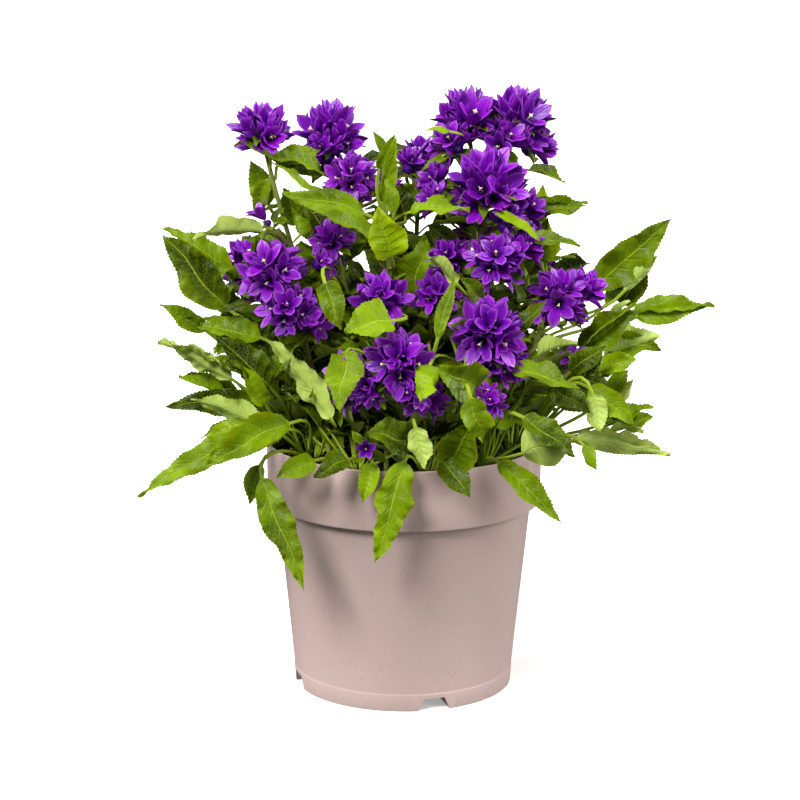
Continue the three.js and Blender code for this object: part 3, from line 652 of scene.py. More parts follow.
# Blades whose green stands out, from 0, old and dark, to 1, young and yellow: by node and row
AGES = {
    ("stem_06", 0): 0.3, ("stem_11", 0): 0.38, ("tuft_05", 1): 0.5, ("tuft_01", 0): 0.55,
    ("tuft_01", 1): 0.45, ("tuft_03", 0): 0.72, ("tuft_04", 0): 0.45, ("stem_07", 0): 0.74,
    ("stem_12", 0): 0.4, ("stem_10", 0): 0.42, ("tuft_02", 0): 0.28, ("tuft_03", 1): 0.34,
    ("tuft_04", 2): 0.55, ("stem_13", 0): 0.8, ("stem_13", 2): 0.45, ("stem_06", 1): 0.6,
    ("tuft_01", 2): 0.6, ("stem_01", 0): 0.5, ("stem_02", 2): 0.4, ("stem_10", 1): 0.7,
    ("tuft_05", 0): 0.6, ("tuft_05", 3): 0.4, ("tuft_05", 4): 0.65, ("tuft_06", 0): 0.7,
    ("tuft_06", 1): 0.6, ("stem_11", 2): 0.85, ("stem_11", 5): 0.45, ("stem_05", 1): 0.35,
}


Socket = bpy.types.NodeSocket

# The settings that shader nodes share: a Mix node's sockets and way of mixing colours, and the
# straight, clamped and smooth ways of mapping a number
FACTOR, LOWER, UPPER = 0, 6, 7
BLEND = {"out": 2, "data_type": "RGBA"}
SCALED = {"operation": "MULTIPLY_ADD"}
CLAMPED = {"operation": "MULTIPLY_ADD", "use_clamp": True}
SMOOTH = {"interpolation_type": "SMOOTHSTEP"}


def add_node(
    tree: bpy.types.NodeTree,
    kind: str,
    values: Iterable | dict = (),
    out: int | str = 0,
    **settings: object,
) -> Socket:
    """Adds a shader node with its settings, values and links.

    Args:
        tree: the tree that it joins.
        kind: its type, without the words that every shader node's type starts with.
        values: what goes into its inputs, in order or by name: a number, a hex colour or a socket.
        out: the output that is wanted.
        settings: the node's own properties.

    Returns:
        The output socket.
    """
    node = tree.nodes.new(f"ShaderNode{kind}")
    for name, value in settings.items():
        setattr(node, name, value)
    for place, value in values.items() if isinstance(values, dict) else enumerate(values):
        if isinstance(value, Socket):
            tree.links.new(value, node.inputs[place])
        else:
            node.inputs[place].default_value = linear(value) if isinstance(value, str) else value
    return node.outputs[out]


def per_mm(size: float) -> float:
    """Returns the texture scale whose grains or cells are a number of millimetres wide."""
    return 1 / (size * METRES)


@dataclass(frozen=True)
class Finish:
    """What every finish shares: a name, and one material that is made when first asked for."""

    name: str
    # The shader's constant values, and how deep the relief is
    surface: tuple[tuple[str, float | str | tuple], ...] = ()
    relief_mm: float = 0.0

    def material(self) -> bpy.types.Material:
        """Returns the material, made once."""
        made = bpy.data.materials.get(self.name)
        if made is None:
            made = bpy.data.materials.new(self.name)
            made.use_nodes = True
            shader = made.node_tree.nodes["Principled BSDF"]
            for name, value in self.surface:
                value = linear(value) if isinstance(value, str) else value
                shader.inputs[name].default_value = value
            place = add_node(made.node_tree, "TexCoord", out="Object")
            colour, height = self.paint(made.node_tree, place)
            made.node_tree.links.new(colour, shader.inputs["Base Color"])
            if self.relief_mm:
                values = {"Height": height, "Distance": self.relief_mm * METRES, "Strength": 1.0}
                bump = add_node(made.node_tree, "Bump", values)
                made.node_tree.links.new(bump, shader.inputs["Normal"])
        return made

    def paint(self, tree: bpy.types.NodeTree, place: Socket) -> tuple[Socket, Socket]:
        """Builds the pattern.

        Args:
            tree: the material's nodes.
            place: the place in the piece, in metres.

        Returns:
            The colour and the height of the relief.
        """
        raise NotImplementedError


@dataclass(frozen=True)
class LeafBlade(Finish):
    """Living leaf: satin yellow green, quilted between sunken side veins, with a thin pale rib and
    a matt, paler underside. Light soaks through it, which makes its edges glow, and a pale band
    along the margin is a painted highlight."""

    surface: tuple = (
        ("Roughness", 0.4), ("Specular IOR Level", 0.13), ("Subsurface Weight", 0.2),
        ("Subsurface Radius", (0.9, 1.0, 0.02)), ("Subsurface Scale", 0.001),
    )
    relief_mm: float = 0.28
    shade: str = "#182800"
    light: str = "#80A000"
    young: str = "#B2C800"
    # The pale green of the rib and veins, also painted along the margin as a highlight
    vein: str = "#A9BE2A"
    under: str = "#A6BB5A"
    withered: str = "#7A5A2C"
    petiole: str = "#8FA42C"
    vein_pairs: float = 7.0
    vein_slant: float = -1.3
    network_mm: float = 2.4
    cloud_mm: float = 26.0

    def paint(self, tree: bpy.types.NodeTree, place: Socket) -> tuple[Socket, Socket]:
        """Draws ribs and margins from the blade's own chart, and the network in the solid."""
        chart = add_node(tree, "UVMap")
        along, across = (add_node(tree, "SeparateXYZ", [chart], out=axis) for axis in (0, 1))
        tint, under = (
            add_node(tree, "Attribute", out="Fac", attribute_name=name) for name in ("tint", "under")
        )
        cloud = add_node(tree, "TexNoise", {"Vector": place, "Scale": per_mm(self.cloud_mm)})
        cells = {"Vector": place, "Scale": per_mm(self.network_mm)}
        network = add_node(tree, "TexVoronoi", cells, feature="DISTANCE_TO_EDGE")
        # From the rib, at none, to either margin, at one
        edge = add_node(tree, "Math", (across, 2.0, -1.0), **SCALED)
        edge = add_node(tree, "Math", [edge], operation="ABSOLUTE")
        # Side veins, which slant forwards, wander and fade before the margin
        wander = add_node(tree, "Math", (cloud, 0.9, -0.45), **SCALED)
        lines = add_node(tree, "Math", (along, self.vein_pairs, wander), **SCALED)
        lines = add_node(tree, "Math", (edge, self.vein_slant, lines), **SCALED)
        lines = add_node(tree, "Math", (lines, 0.5), operation="PINGPONG")
        side = add_node(tree, "MapRange", (lines, 0.0, 0.16, 1.0, 0.0), **SMOOTH)
        fade = add_node(tree, "MapRange", (edge, 0.35, 0.95, 1.0, 0.0), **SMOOTH)
        side = add_node(tree, "Math", (side, fade), operation="MULTIPLY")
        rib = add_node(tree, "MapRange", (edge, 0.01, 0.06, 1.0, 0.0), **SMOOTH)
        pale = add_node(tree, "Math", (side, 0.08), operation="MULTIPLY")
        pale = add_node(tree, "Math", (rib, 0.55, pale), **CLAMPED)
        # The upper face's green, from old to young, and the pale underside
        tone = add_node(tree, "Math", (cloud, 1.3, -0.65), **SCALED)
        tone = add_node(tree, "Math", (tint, 0.95, tone), **CLAMPED)
        cells = add_node(tree, "MapRange", (network, 0.0, 0.14, 0.14, 0.0))
        fresh = add_node(tree, "Math", (tint, 2.6, -1.9), **CLAMPED)
        below = add_node(tree, "Mix", {FACTOR: pale, LOWER: self.under, UPPER: self.vein}, **BLEND)
        under = add_node(tree, "Math", (under, 0.51), operation="GREATER_THAN")
        # The margin's pale band, which is a painted highlight, the dry tip of an old leaf, and the petiole
        margin = add_node(tree, "Math", (edge, 7.0, -6.5), **CLAMPED)
        margin = add_node(tree, "Math", (margin, 0.15), operation="MULTIPLY")
        tip = add_node(tree, "Math", (along, 14.0, -13.2), **CLAMPED)
        old = add_node(tree, "Math", (tint, -3.0, 1.0), **CLAMPED)
        dry = add_node(tree, "Math", (tip, old), operation="MULTIPLY")
        stalk = add_node(tree, "MapRange", (along, -0.004, 0.03, 1.0, 0.0))
        green = self.shade
        for share, colour in (
            (tone, self.light), (cells, self.vein), (fresh, self.young), (pale, self.vein),
            (under, below), (margin, self.vein), (dry, self.withered), (stalk, self.petiole),
        ):
            green = add_node(tree, "Mix", {FACTOR: share, LOWER: green, UPPER: colour}, **BLEND)
        quilt = add_node(tree, "MapRange", (network, 0.0, 0.4, 0.0, 0.12), **SMOOTH)
        for sunken in (side, rib):
            quilt = add_node(tree, "Math", (quilt, sunken), operation="SUBTRACT")
        return green, quilt


@dataclass(frozen=True)
class StemSkin(Finish):
    """Soft stem: green, clouded with brownish red, downy, with a faint satin gloss."""

    surface: tuple = (("Roughness", 0.55), ("Sheen Weight", 0.2))
    relief_mm: float = 0.1
    green: str = "#7F9430"
    red: str = "#6E4A24"
    cloud_mm: float = 14.0
    down_mm: float = 0.8

    def paint(self, tree: bpy.types.NodeTree, place: Socket) -> tuple[Socket, Socket]:
        """Clouds the green with red and raises the down."""
        cloud, down = (
            add_node(tree, "TexNoise", {"Vector": place, "Scale": per_mm(size)})
            for size in (self.cloud_mm, self.down_mm)
        )
        cloud = add_node(tree, "Math", (cloud, 2.2, -0.8), **CLAMPED)
        colour = add_node(tree, "Mix", {FACTOR: cloud, LOWER: self.green, UPPER: self.red}, **BLEND)
        return colour, down


@dataclass(frozen=True)
class PetalSkin(Finish):
    """Living petal: deep violet and satin, with a dark crease down each lobe, which is painted
    shade in its fold, fine veins beside it, lobe edges painted paler as a highlight and a
    throat painted near-black as the shade inside the bell."""

    surface: tuple = (
        ("Roughness", 0.3), ("Specular IOR Level", 0.34), ("Subsurface Weight", 0.2),
        ("Subsurface Radius", (0.8, 0.1, 1.0)), ("Subsurface Scale", 0.0008),
    )
    relief_mm: float = 0.35
    deep: str = "#4E0388"
    bright: str = "#9612C2"
    # The painted highlight along the lobe edges
    edge: str = "#BC70DC"
    # The dark line in each lobe's crease: painted shade
    crease: str = "#2C0350"
    # The near-black of the throat: painted shade inside the bell
    throat: str = "#170228"
    veins_per_lobe: float = 9.0
    cloud_mm: float = 7.0

    def paint(self, tree: bpy.types.NodeTree, place: Socket) -> tuple[Socket, Socket]:
        """Draws creases, veins and throat from the bell's own chart."""
        chart = add_node(tree, "UVMap")
        along, lobes = (add_node(tree, "SeparateXYZ", [chart], out=axis) for axis in (0, 1))
        tint = add_node(tree, "Attribute", out="Fac", attribute_name="tint")
        cloud = add_node(tree, "TexNoise", {"Vector": place, "Scale": per_mm(self.cloud_mm)})
        # From the rim, at none, to the base and the throat, at one
        rim = add_node(tree, "Math", (along, 2.0, -1.0), **SCALED)
        rim = add_node(tree, "Math", [rim], operation="ABSOLUTE")
        near = add_node(tree, "MapRange", (rim, 0.0, 0.8, 1.0, 0.0))
        tone = add_node(tree, "Math", (cloud, 0.8, -0.45), **SCALED)
        tone = add_node(tree, "Math", (near, 0.45, tone), **SCALED)
        tone = add_node(tree, "Math", (tint, 0.6, tone), **CLAMPED)
        # The lobe edges near the rim are painted paler: a painted highlight
        brim_highlight = add_node(tree, "Math", (rim, -6.0, 1.0), **CLAMPED)
        brim_highlight = add_node(tree, "Math", (brim_highlight, 0.45), operation="MULTIPLY")
        # Veins beside the crease down the middle of each lobe, whose dark line is painted shade in the
        # fold
        veins = add_node(tree, "Math", (lobes, self.veins_per_lobe), operation="MULTIPLY")
        veins = add_node(tree, "Math", (veins, 0.5), operation="PINGPONG")
        veins = add_node(tree, "MapRange", (veins, 0.0, 0.22, 0.22, 0.0))
        middle = add_node(tree, "Math", (lobes, 0.5), operation="PINGPONG")
        fold = add_node(tree, "MapRange", (middle, 0.0, 0.05, 0.5, 0.0), **SMOOTH)
        lines = add_node(tree, "Math", (veins, fold), operation="MAXIMUM")
        # Deep in the throat the violet turns near black: painted shade inside the bell
        throat_shade = add_node(tree, "MapRange", (along, 0.7, 0.95, 0.0, 1.0), **SMOOTH)
        violet = self.deep
        for share, colour in (
            (tone, self.bright), (brim_highlight, self.edge), (lines, self.crease), (throat_shade, self.throat)
        ):
            violet = add_node(tree, "Mix", {FACTOR: share, LOWER: violet, UPPER: colour}, **BLEND)
        return violet, add_node(tree, "Math", (1.0, lines), operation="SUBTRACT")


@dataclass(frozen=True)
class StigmaSkin(Finish):
    """Stigma: waxy cream with a dusting of pollen."""

    surface: tuple = (("Roughness", 0.6),)
    relief_mm: float = 0.05
    cream: str = "#EFE6C4"
    pollen: str = "#E2D08A"
    grain_mm: float = 0.8

    def paint(self, tree: bpy.types.NodeTree, place: Socket) -> tuple[Socket, Socket]:
        """Dusts the cream with pollen."""
        dust = add_node(tree, "TexNoise", {"Vector": place, "Scale": per_mm(self.grain_mm)})
        colour = add_node(tree, "Mix", {FACTOR: dust, LOWER: self.cream, UPPER: self.pollen}, **BLEND)
        return colour, dust


@dataclass(frozen=True)
class MouldedPolypropylene(Finish):
    """Injection-moulded polypropylene, part recycled: matt taupe with fine darker and paler
    specks, and a faint haze left by the flow of the plastic."""

    surface: tuple = (("Roughness", 0.42), ("Specular IOR Level", 0.5))
    relief_mm: float = 0.03
    taupe: str = "#C2AAA3"
    haze: str = "#B59F98"
    dark: str = "#7E6B64"
    pale: str = "#DCCCC6"
    speck_mm: float = 1.1
    cloud_mm: float = 70.0

    def paint(self, tree: bpy.types.NodeTree, place: Socket) -> tuple[Socket, Socket]:
        """Hazes and speckles the taupe."""
        cloud = add_node(tree, "TexNoise", {"Vector": place, "Scale": per_mm(self.cloud_mm)})
        plain = {"Vector": place, "Scale": per_mm(self.speck_mm), "Detail": 0.0}
        specks = add_node(tree, "TexNoise", plain)
        dark = add_node(tree, "MapRange", (specks, 0.2, 0.27, 0.4, 0.0))
        pale = add_node(tree, "MapRange", (specks, 0.72, 0.8, 0.0, 0.2))
        colour = self.taupe
        for share, over in ((cloud, self.haze), (dark, self.dark), (pale, self.pale)):
            colour = add_node(tree, "Mix", {FACTOR: share, LOWER: colour, UPPER: over}, **BLEND)
        return colour, specks


@dataclass(frozen=True)
class PottingMix(Finish):
    """Potting mix: dark peat and bark fibre, matt and crumbly, with a few pale grains."""

    surface: tuple = (("Roughness", 0.95),)
    relief_mm: float = 1.2
    peat: str = "#1E1510"
    bark: str = "#42301F"
    grit: str = "#9C9486"
    fibre_mm: float = 5.0
    grit_mm: float = 3.5
    crumb_mm: float = 2.0

    def paint(self, tree: bpy.types.NodeTree, place: Socket) -> tuple[Socket, Socket]:
        """Mixes peat, bark and grit."""
        fibre, grit, crumb = (
            add_node(tree, "TexNoise", {"Vector": place, "Scale": per_mm(size), "Detail": detail})
            for size, detail in ((self.fibre_mm, 6.0), (self.grit_mm, 0.0), (self.crumb_mm, 6.0))
        )
        bark = add_node(tree, "Math", (fibre, 3.0, -1.2), **CLAMPED)
        grit = add_node(tree, "Math", (grit, 14.0, -11.0), **CLAMPED)
        colour = self.peat
        for share, over in ((bark, self.bark), (grit, self.grit)):
            colour = add_node(tree, "Mix", {FACTOR: share, LOWER: colour, UPPER: over}, **BLEND)
        return colour, crumb


@dataclass(frozen=True)
class PaperSweep(Finish):
    """A white paper sweep under the pot, matt, with the faintest fibre."""

    surface: tuple = (
        ("Roughness", 0.9), ("Emission Color", "#F2F2F2"), ("Emission Strength", 0.35)
    )
    white: str = "#F2F2F2"
    fibre: str = "#EFEFEF"
    fibre_mm: float = 3.0

    def paint(self, tree: bpy.types.NodeTree, place: Socket) -> tuple[Socket, Socket]:
        """Clouds the white very faintly."""
        cloud = add_node(tree, "TexNoise", {"Vector": place, "Scale": per_mm(self.fibre_mm)})
        colour = add_node(tree, "Mix", {FACTOR: cloud, LOWER: self.white, UPPER: self.fibre}, **BLEND)
        return colour, cloud


LEAF = LeafBlade("leaf_blade")
STALK = StemSkin("stem_skin")
PETAL = PetalSkin("petal_skin")
STIGMA = StigmaSkin("stigma_skin")
POT = MouldedPolypropylene("moulded_polypropylene")
SOIL = PottingMix("potting_mix")
SWEEP = PaperSweep("paper_sweep")


def heading(azimuth: float) -> Vector:
    """Returns the level direction at an angle about the pot's axis."""
    return Vector((math.cos(azimuth), math.sin(azimuth), 0.0))


@dataclass(frozen=True)
class LeafHabit:
    """How the finished blades differ: the middle and spread of each draw, and shared shares."""

    # Of the blade's width: the margin's ripples and the rib's sideways bow
    ruffle: Pair = (0.095, 0.05)
    bow: Pair = (0.0, 0.09)
    # Millimetres from one ripple to the next
    ripple: Pair = (19, 4)
    # The roll about the rib in radians, the fold as a multiple of the solid's, the margins' curl as a
    # share of the half width, how far each tooth stands out, and the green
    roll: Pair = (0, 0.4)
    keel: Pair = (1.7, 0.9)
    curl: Pair = (-0.06, 0.28)
    teeth: Pair = (1.0, 0.55)
    tint: Pair = (0.42, 0.34)
    # How far the solid's rings widen and tilt in turn, as shares of the width
    sway_out: float = 0.07
    sway_up: float = 0.06
    # Millimetres that a tooth stands out and a notch goes in
    tooth: float = 0.4
    notch: float = -0.2
    # Millimetres that the surface swells between side veins, and how many pairs of them there are
    swell: float = 0.38
    vein_pairs: float = 7
    # Half the blade's thickness, and what its rib adds above and below, in millimetres
    half_thickness: float = 0.16
    rib_above: float = 0.25
    rib_below: float = 0.62
    rib_half_width: float = 1.1


HABIT = LeafHabit()


@dataclass
class Leaf:
    """A toothed blade on a petiole, on the same lines as its solid."""

    base: Vector
    tip: Vector
    width: float
    arch: float
    upper: Vector
    turn: float
    steps: int
    root: Vector = field(default_factory=Vector)
    tooth: float = 2.4
    across: int = 6
    age: float | None = None

    def lines(self) -> tuple[Curve, Curve, Vector]:
        """Works out the lines that the leaf follows.

        Returns:
            The rib, the petiole and the blade's upward normal.
        """
        along = (self.tip - self.base).normalized()
        blade = (self.upper - along * self.upper.dot(along)).normalized()
        bend = self.base.lerp(self.tip, 0.5) + blade * self.arch
        reach = (self.base - self.root).length
        aside = Vector((self.base.x - self.root.x, self.base.y - self.root.y, 0.0)).normalized()
        rise = self.root + (aside + UP).normalized() * HANDLE * reach
        lead = self.base - (bend - self.base).normalized() * HANDLE * reach
        return Curve(self.base, bend, self.tip), Curve(self.root, rise, lead, self.base), blade

    @staticmethod
    def share(t: float) -> float:
        """Returns the solid's half width at a share of its length, as a share of its largest."""
        return 2.557 * t**0.55 * (1 - t) ** 0.85 if 0 < t < 1 else 0.0

    @staticmethod
    def taper(t: float) -> float:
        """Returns the same of the finished blade, which runs out to a longer point."""
        return 3.015 * t**0.6 * (1 - t) ** 1.1 if 0 < t < 1 else 0.0

    def last_ring(self) -> list[Vector]:
        """Works out the corners by which a leaf is found in its solid.

        Returns:
            The tip and the two corners of the last ring before it.
        """
        rib, _, blade = self.lines()
        t = self.steps / (self.steps + 1)
        sway = 1 if self.steps % 2 == 0 else -1
        half = self.width / 2 * self.share(t) * (1 + HABIT.sway_out * sway)
        middle, ahead = rib.point(t), rib.tangent(t)
        normal = (blade - ahead * blade.dot(ahead)).normalized()
        side = ahead.cross(normal)
        lift, wave = BLADE_FOLD * half, HABIT.sway_up * self.width * sway
        edges = [(half, lift - wave), (-half, lift + wave)]
        return [self.tip, *(middle + side * out + normal * up for out, up in edges)]

    def moved(self, base_shift: Vector, tip_shift: Vector) -> "Leaf":
        """Returns the same leaf with its blade's ends moved."""
        return replace(self, base=self.base + base_shift, tip=self.tip + tip_shift)

    def grow(self, bm: bmesh.types.BMesh, draw: Draw) -> None:
        """Adds the leaf to a mesh as one closed tube, flattened along the blade.

        Args:
            bm: the mesh.
            draw: the row of draws that varies the leaf.
        """
        rib, stalk, blade = self.lines()
        length = (self.tip - self.base).length
        reach = (self.base - self.root).length
        blade_rows = 2 * max(5, round(length / self.tooth))
        stalk_rows = 3 + round(reach / 14)
        rows = blade_rows + stalk_rows
        ruffle, phase = draw.around(*HABIT.ruffle) * self.width, draw.next() * math.tau
        ripples = length / draw.around(*HABIT.ripple)
        fine = min(1.0, length / 40)
        roll, keel = draw.around(*HABIT.roll), BLADE_FOLD * draw.around(*HABIT.keel)
        bow, curl = draw.around(*HABIT.bow) * self.width, draw.around(*HABIT.curl)
        teeth = [draw.around(*HABIT.teeth) for _ in range(2 * rows + 2)]
        frames = self.stalk_frames(stalk, stalk_rows, blade)

        def stalk_point(row: int, angle: float) -> Vector:
            """Places a point of the petiole, which starts at a pole."""
            middle, side, normal = frames[row]
            out = PETIOLE_WIDTH / 2 * math.cos(angle)
            up = RIB_THICKNESS * 0.42 * math.sin(angle) - 0.1
            return middle + side * out + normal * up if row else middle

        def shape(u: float, v: float) -> Vector:
            """Places a point of the leaf, whose s runs from one margin, at -1, to the other."""
            row = round(u * rows)
            if row <= stalk_rows:
                return stalk_point(row, math.pi - math.tau * v)
            t = (row - stalk_rows) / blade_rows
            is_upper = v <= 0.5
            s = -1 + 4 * v if is_upper else 3 - 4 * v
            is_peak = (row - stalk_rows) % 2 == 1
            tooth = teeth[2 * row + (s > 0)] * abs(s) ** 8
            t_edge = min(1.0, t + 0.3 / blade_rows * is_peak * tooth)
            middle, ahead = rib.point(t_edge), rib.tangent(t_edge)
            normal = (blade - ahead * blade.dot(ahead)).normalized()
            normal = Quaternion(ahead, roll * math.sin(math.pi * t)) @ normal
            side = ahead.cross(normal)
            middle += side * bow * math.sin(math.tau * t) * math.sin(math.pi * t)
            sway = math.cos(math.pi * t * (self.steps + 1))
            half = self.width * 0.52 * self.taper(t) * (1 + HABIT.sway_out * sway)
            half = max(half, PETIOLE_WIDTH / 2 * (1 - 4 * t))
            step = HABIT.tooth if is_peak else HABIT.notch
            half += step * fine * tooth * min(1.0, 6 * (1 - t), half / 3)
            fold = keel * half * abs(s) - HABIT.sway_up * self.width * sway * s * abs(s)
            fold += curl * half * s**4
            wave = math.tau * ripples * t + phase + (s > 0) * 1.7
            fold += ruffle * s * s * (math.sin(wave) + 0.4 * math.sin(2.3 * wave)) * min(1, 5 * t)
            swell = math.sin(math.tau * (t * HABIT.vein_pairs - abs(s) * 0.9))
            fold += HABIT.swell * fine * swell * 4 * abs(s) * (1 - abs(s))
            near = math.exp(-((s * half / HABIT.rib_half_width) ** 2)) * (1 - t) ** 0.6
            thick = HABIT.half_thickness * (1 - s * s)
            thick += (HABIT.rib_above if is_upper else HABIT.rib_below) * near
            return middle + side * half * s + normal * (fold + (thick if is_upper else -thick))

        def chart(u: float, v: float) -> Pair:
            """Gives the share along the blade, less than zero on the petiole, and across it."""
            row = round(u * rows) - stalk_rows
            along = row / blade_rows if row > 0 else 0.1 * row / stalk_rows
            return along, 2 * v if v <= 0.5 else 2 - 2 * v

        warp_tube(
            bm, rows, 2 * self.across, shape, chart, slot=Tissue.LEAF.value,
            tint=draw.around(*HABIT.tint) if self.age is None else self.age,
            margins=(0.0, 0.5, 1.0), is_blade=True,
        )

    @staticmethod
    def stalk_frames(
        stalk: Curve, rows: int, blade: Vector
    ) -> list[tuple[Vector, Vector, Vector]]:
        """Carries the blade's normal back along the petiole.

        Args:
            stalk: the petiole's line.
            rows: the number of spans along it.
            blade: the blade's upward normal.

        Returns:
            A point, a side and a normal for each row, from the root to the blade.
        """
        frames = []
        normal = blade.copy()
        for row in range(rows, -1, -1):
            ahead = stalk.tangent(row / rows)
            normal = (normal - ahead * normal.dot(ahead)).normalized()
            frames.append((stalk.point(row / rows), ahead.cross(normal), normal.copy()))
        return frames[::-1]


def grow_stalk(
    bm: bmesh.types.BMesh, path: Curve, radii: Pair, rows: int, below: float = 0.0
) -> None:
    """Adds a round stalk along a path, faintly ribbed.

    Args:
        bm: the mesh.
        path: the path.
        radii: the radius at the foot and at the top.
        rows: faces along it.
        below: how far it runs straight down from the path's start.
    """
    start = path.point(0.0)
    sunk = 2 if below else 0
    side = Vector((1.0, 0.0, 0.0))
    frames = []
    for row in range(rows + 1):
        t = max(0.0, (row - sunk) / (rows - sunk))
        point, ahead = path.point(t), path.tangent(t) if t or not below else UP
        if row < sunk:
            point = start - UP * below * (sunk - row) / sunk
        side = (side - ahead * side.dot(ahead)).normalized()
        frames.append((point, side.copy(), ahead.cross(side), t))

    def shape(u: float, v: float) -> Vector:
        """Places a point of the stalk."""
        row = round(u * rows)
        point, across, other, t = frames[row]
        radius = radii[0] + (radii[1] - radii[0]) * t
        radius *= 1 + STALK_RIB * math.cos(STALK_RIBS * math.tau * v)
        if row in (0, rows):
            return point
        return point + (across * math.cos(math.tau * v) + other * math.sin(math.tau * v)) * radius

    warp_tube(bm, rows, 2 * STALK_RIBS, shape, lambda u, v: (u, v), slot=Tissue.STEM.value)


def lean_core(direction: Vector) -> Vector:
    """Leans a direction towards the axis, so that a head is full above and flat below.

    Args:
        direction: the direction, of length one.

    Returns:
        The leaned direction.
    """
    polar = math.acos(max(-1.0, min(1.0, direction.z)))
    leaned = polar - CORE_LEAN * (1 - math.cos(polar)) * math.sin(polar)
    out = math.sin(leaned) / (math.hypot(direction.x, direction.y) or 1.0)
    return Vector((direction.x * out, direction.y * out, math.cos(leaned)))


class TwelveFaces:
    """A twelve-sided solid whose faces carry the bells, from the top one to the flat bottom."""

    RATIO = (1 + math.sqrt(5)) / 2
    RINGS = (
        (11, 7, 15, 13, 3), (19, 17, 6, 15, 7), (4, 8, 10, 6, 17), (0, 16, 2, 10, 8),
        (12, 1, 18, 16, 0), (10, 2, 13, 15, 6), (16, 18, 3, 13, 2), (1, 9, 11, 3, 18),
        (14, 12, 0, 8, 4), (9, 5, 19, 7, 11), (5, 14, 4, 17, 19), (12, 14, 5, 9, 1),
    )

    def __init__(self) -> None:
        """Turns the first face down, then sorts faces and corners by height."""
        t, r = self.RATIO, 1 / self.RATIO
        signs = [(a, b) for a in (-1, 1) for b in (-1, 1)]
        corners = [(a, b, c) for a in (-1, 1) for b, c in signs]
        corners += [(0, a * r, b * t) for a, b in signs]
        corners += [(a * r, b * t, 0) for a, b in signs]
        corners += [(a * t, 0, b * r) for b, a in signs]
        units = [Vector(corner).normalized() for corner in corners]
        middles = [sum((units[i] for i in ring), Vector()).normalized() for ring in self.RINGS]
        down = middles[0].rotation_difference(-UP)
        faces = [
            (down @ middle, down @ units[ring[0]]) for middle, ring in zip(middles, self.RINGS)
        ]
        faces.sort(key=lambda f: -round(f[0].z * 1e4) * 10 + math.atan2(f[0].y, f[0].x))
        self.faces = faces
        self.corners = sorted((down @ unit for unit in units), key=lambda p: -p.z)


FACES = TwelveFaces()


@dataclass(frozen=True)
class HeadHabit:
    """How the bells of a head differ: the middle and spread of each draw, and shared shares."""

    # The solid's own draws: size as a share of the head's reach, turn in radians, and the lobes
    size: Pair = (0.94, 0.06)
    twist: Pair = (0, 0.2)
    shut_chance: float = 0.16
    spread: Pair = (1, 0.12)
    rise: Pair = (1, 0.05)
    # The dressing's draws: how far the lobes flare out and slant
    flare: Pair = (1.26, 0.22)
    lobe_spread: Pair = (1, 0.15)
    slant: Pair = (0, 0.2)
    # On an upright head the bells sink, turn up, grow and close up
    sink: float = 0.3
    turn_up: float = 0.5
    growth: float = 0.34
    close: float = 0.4
    # The smaller bells between them
    stray: Pair = (0, 0.22)
    further_shut_chance: float = 0.45
    further_spread: Pair = (0.85, 0.25)
    further_rise: Pair = (1.02, 0.06)
    further_lobe_spread: Pair = (1, 0.2)
    further_slant: Pair = (0, 0.4)
    # Bracts: their slope in radians, and their length and width as shares of the reach
    bract_slope: Pair = (0.1, 0.3)
    bract_length: Pair = (0.86, 0.1)
    bract_width: float = 0.36


HEAD = HeadHabit()


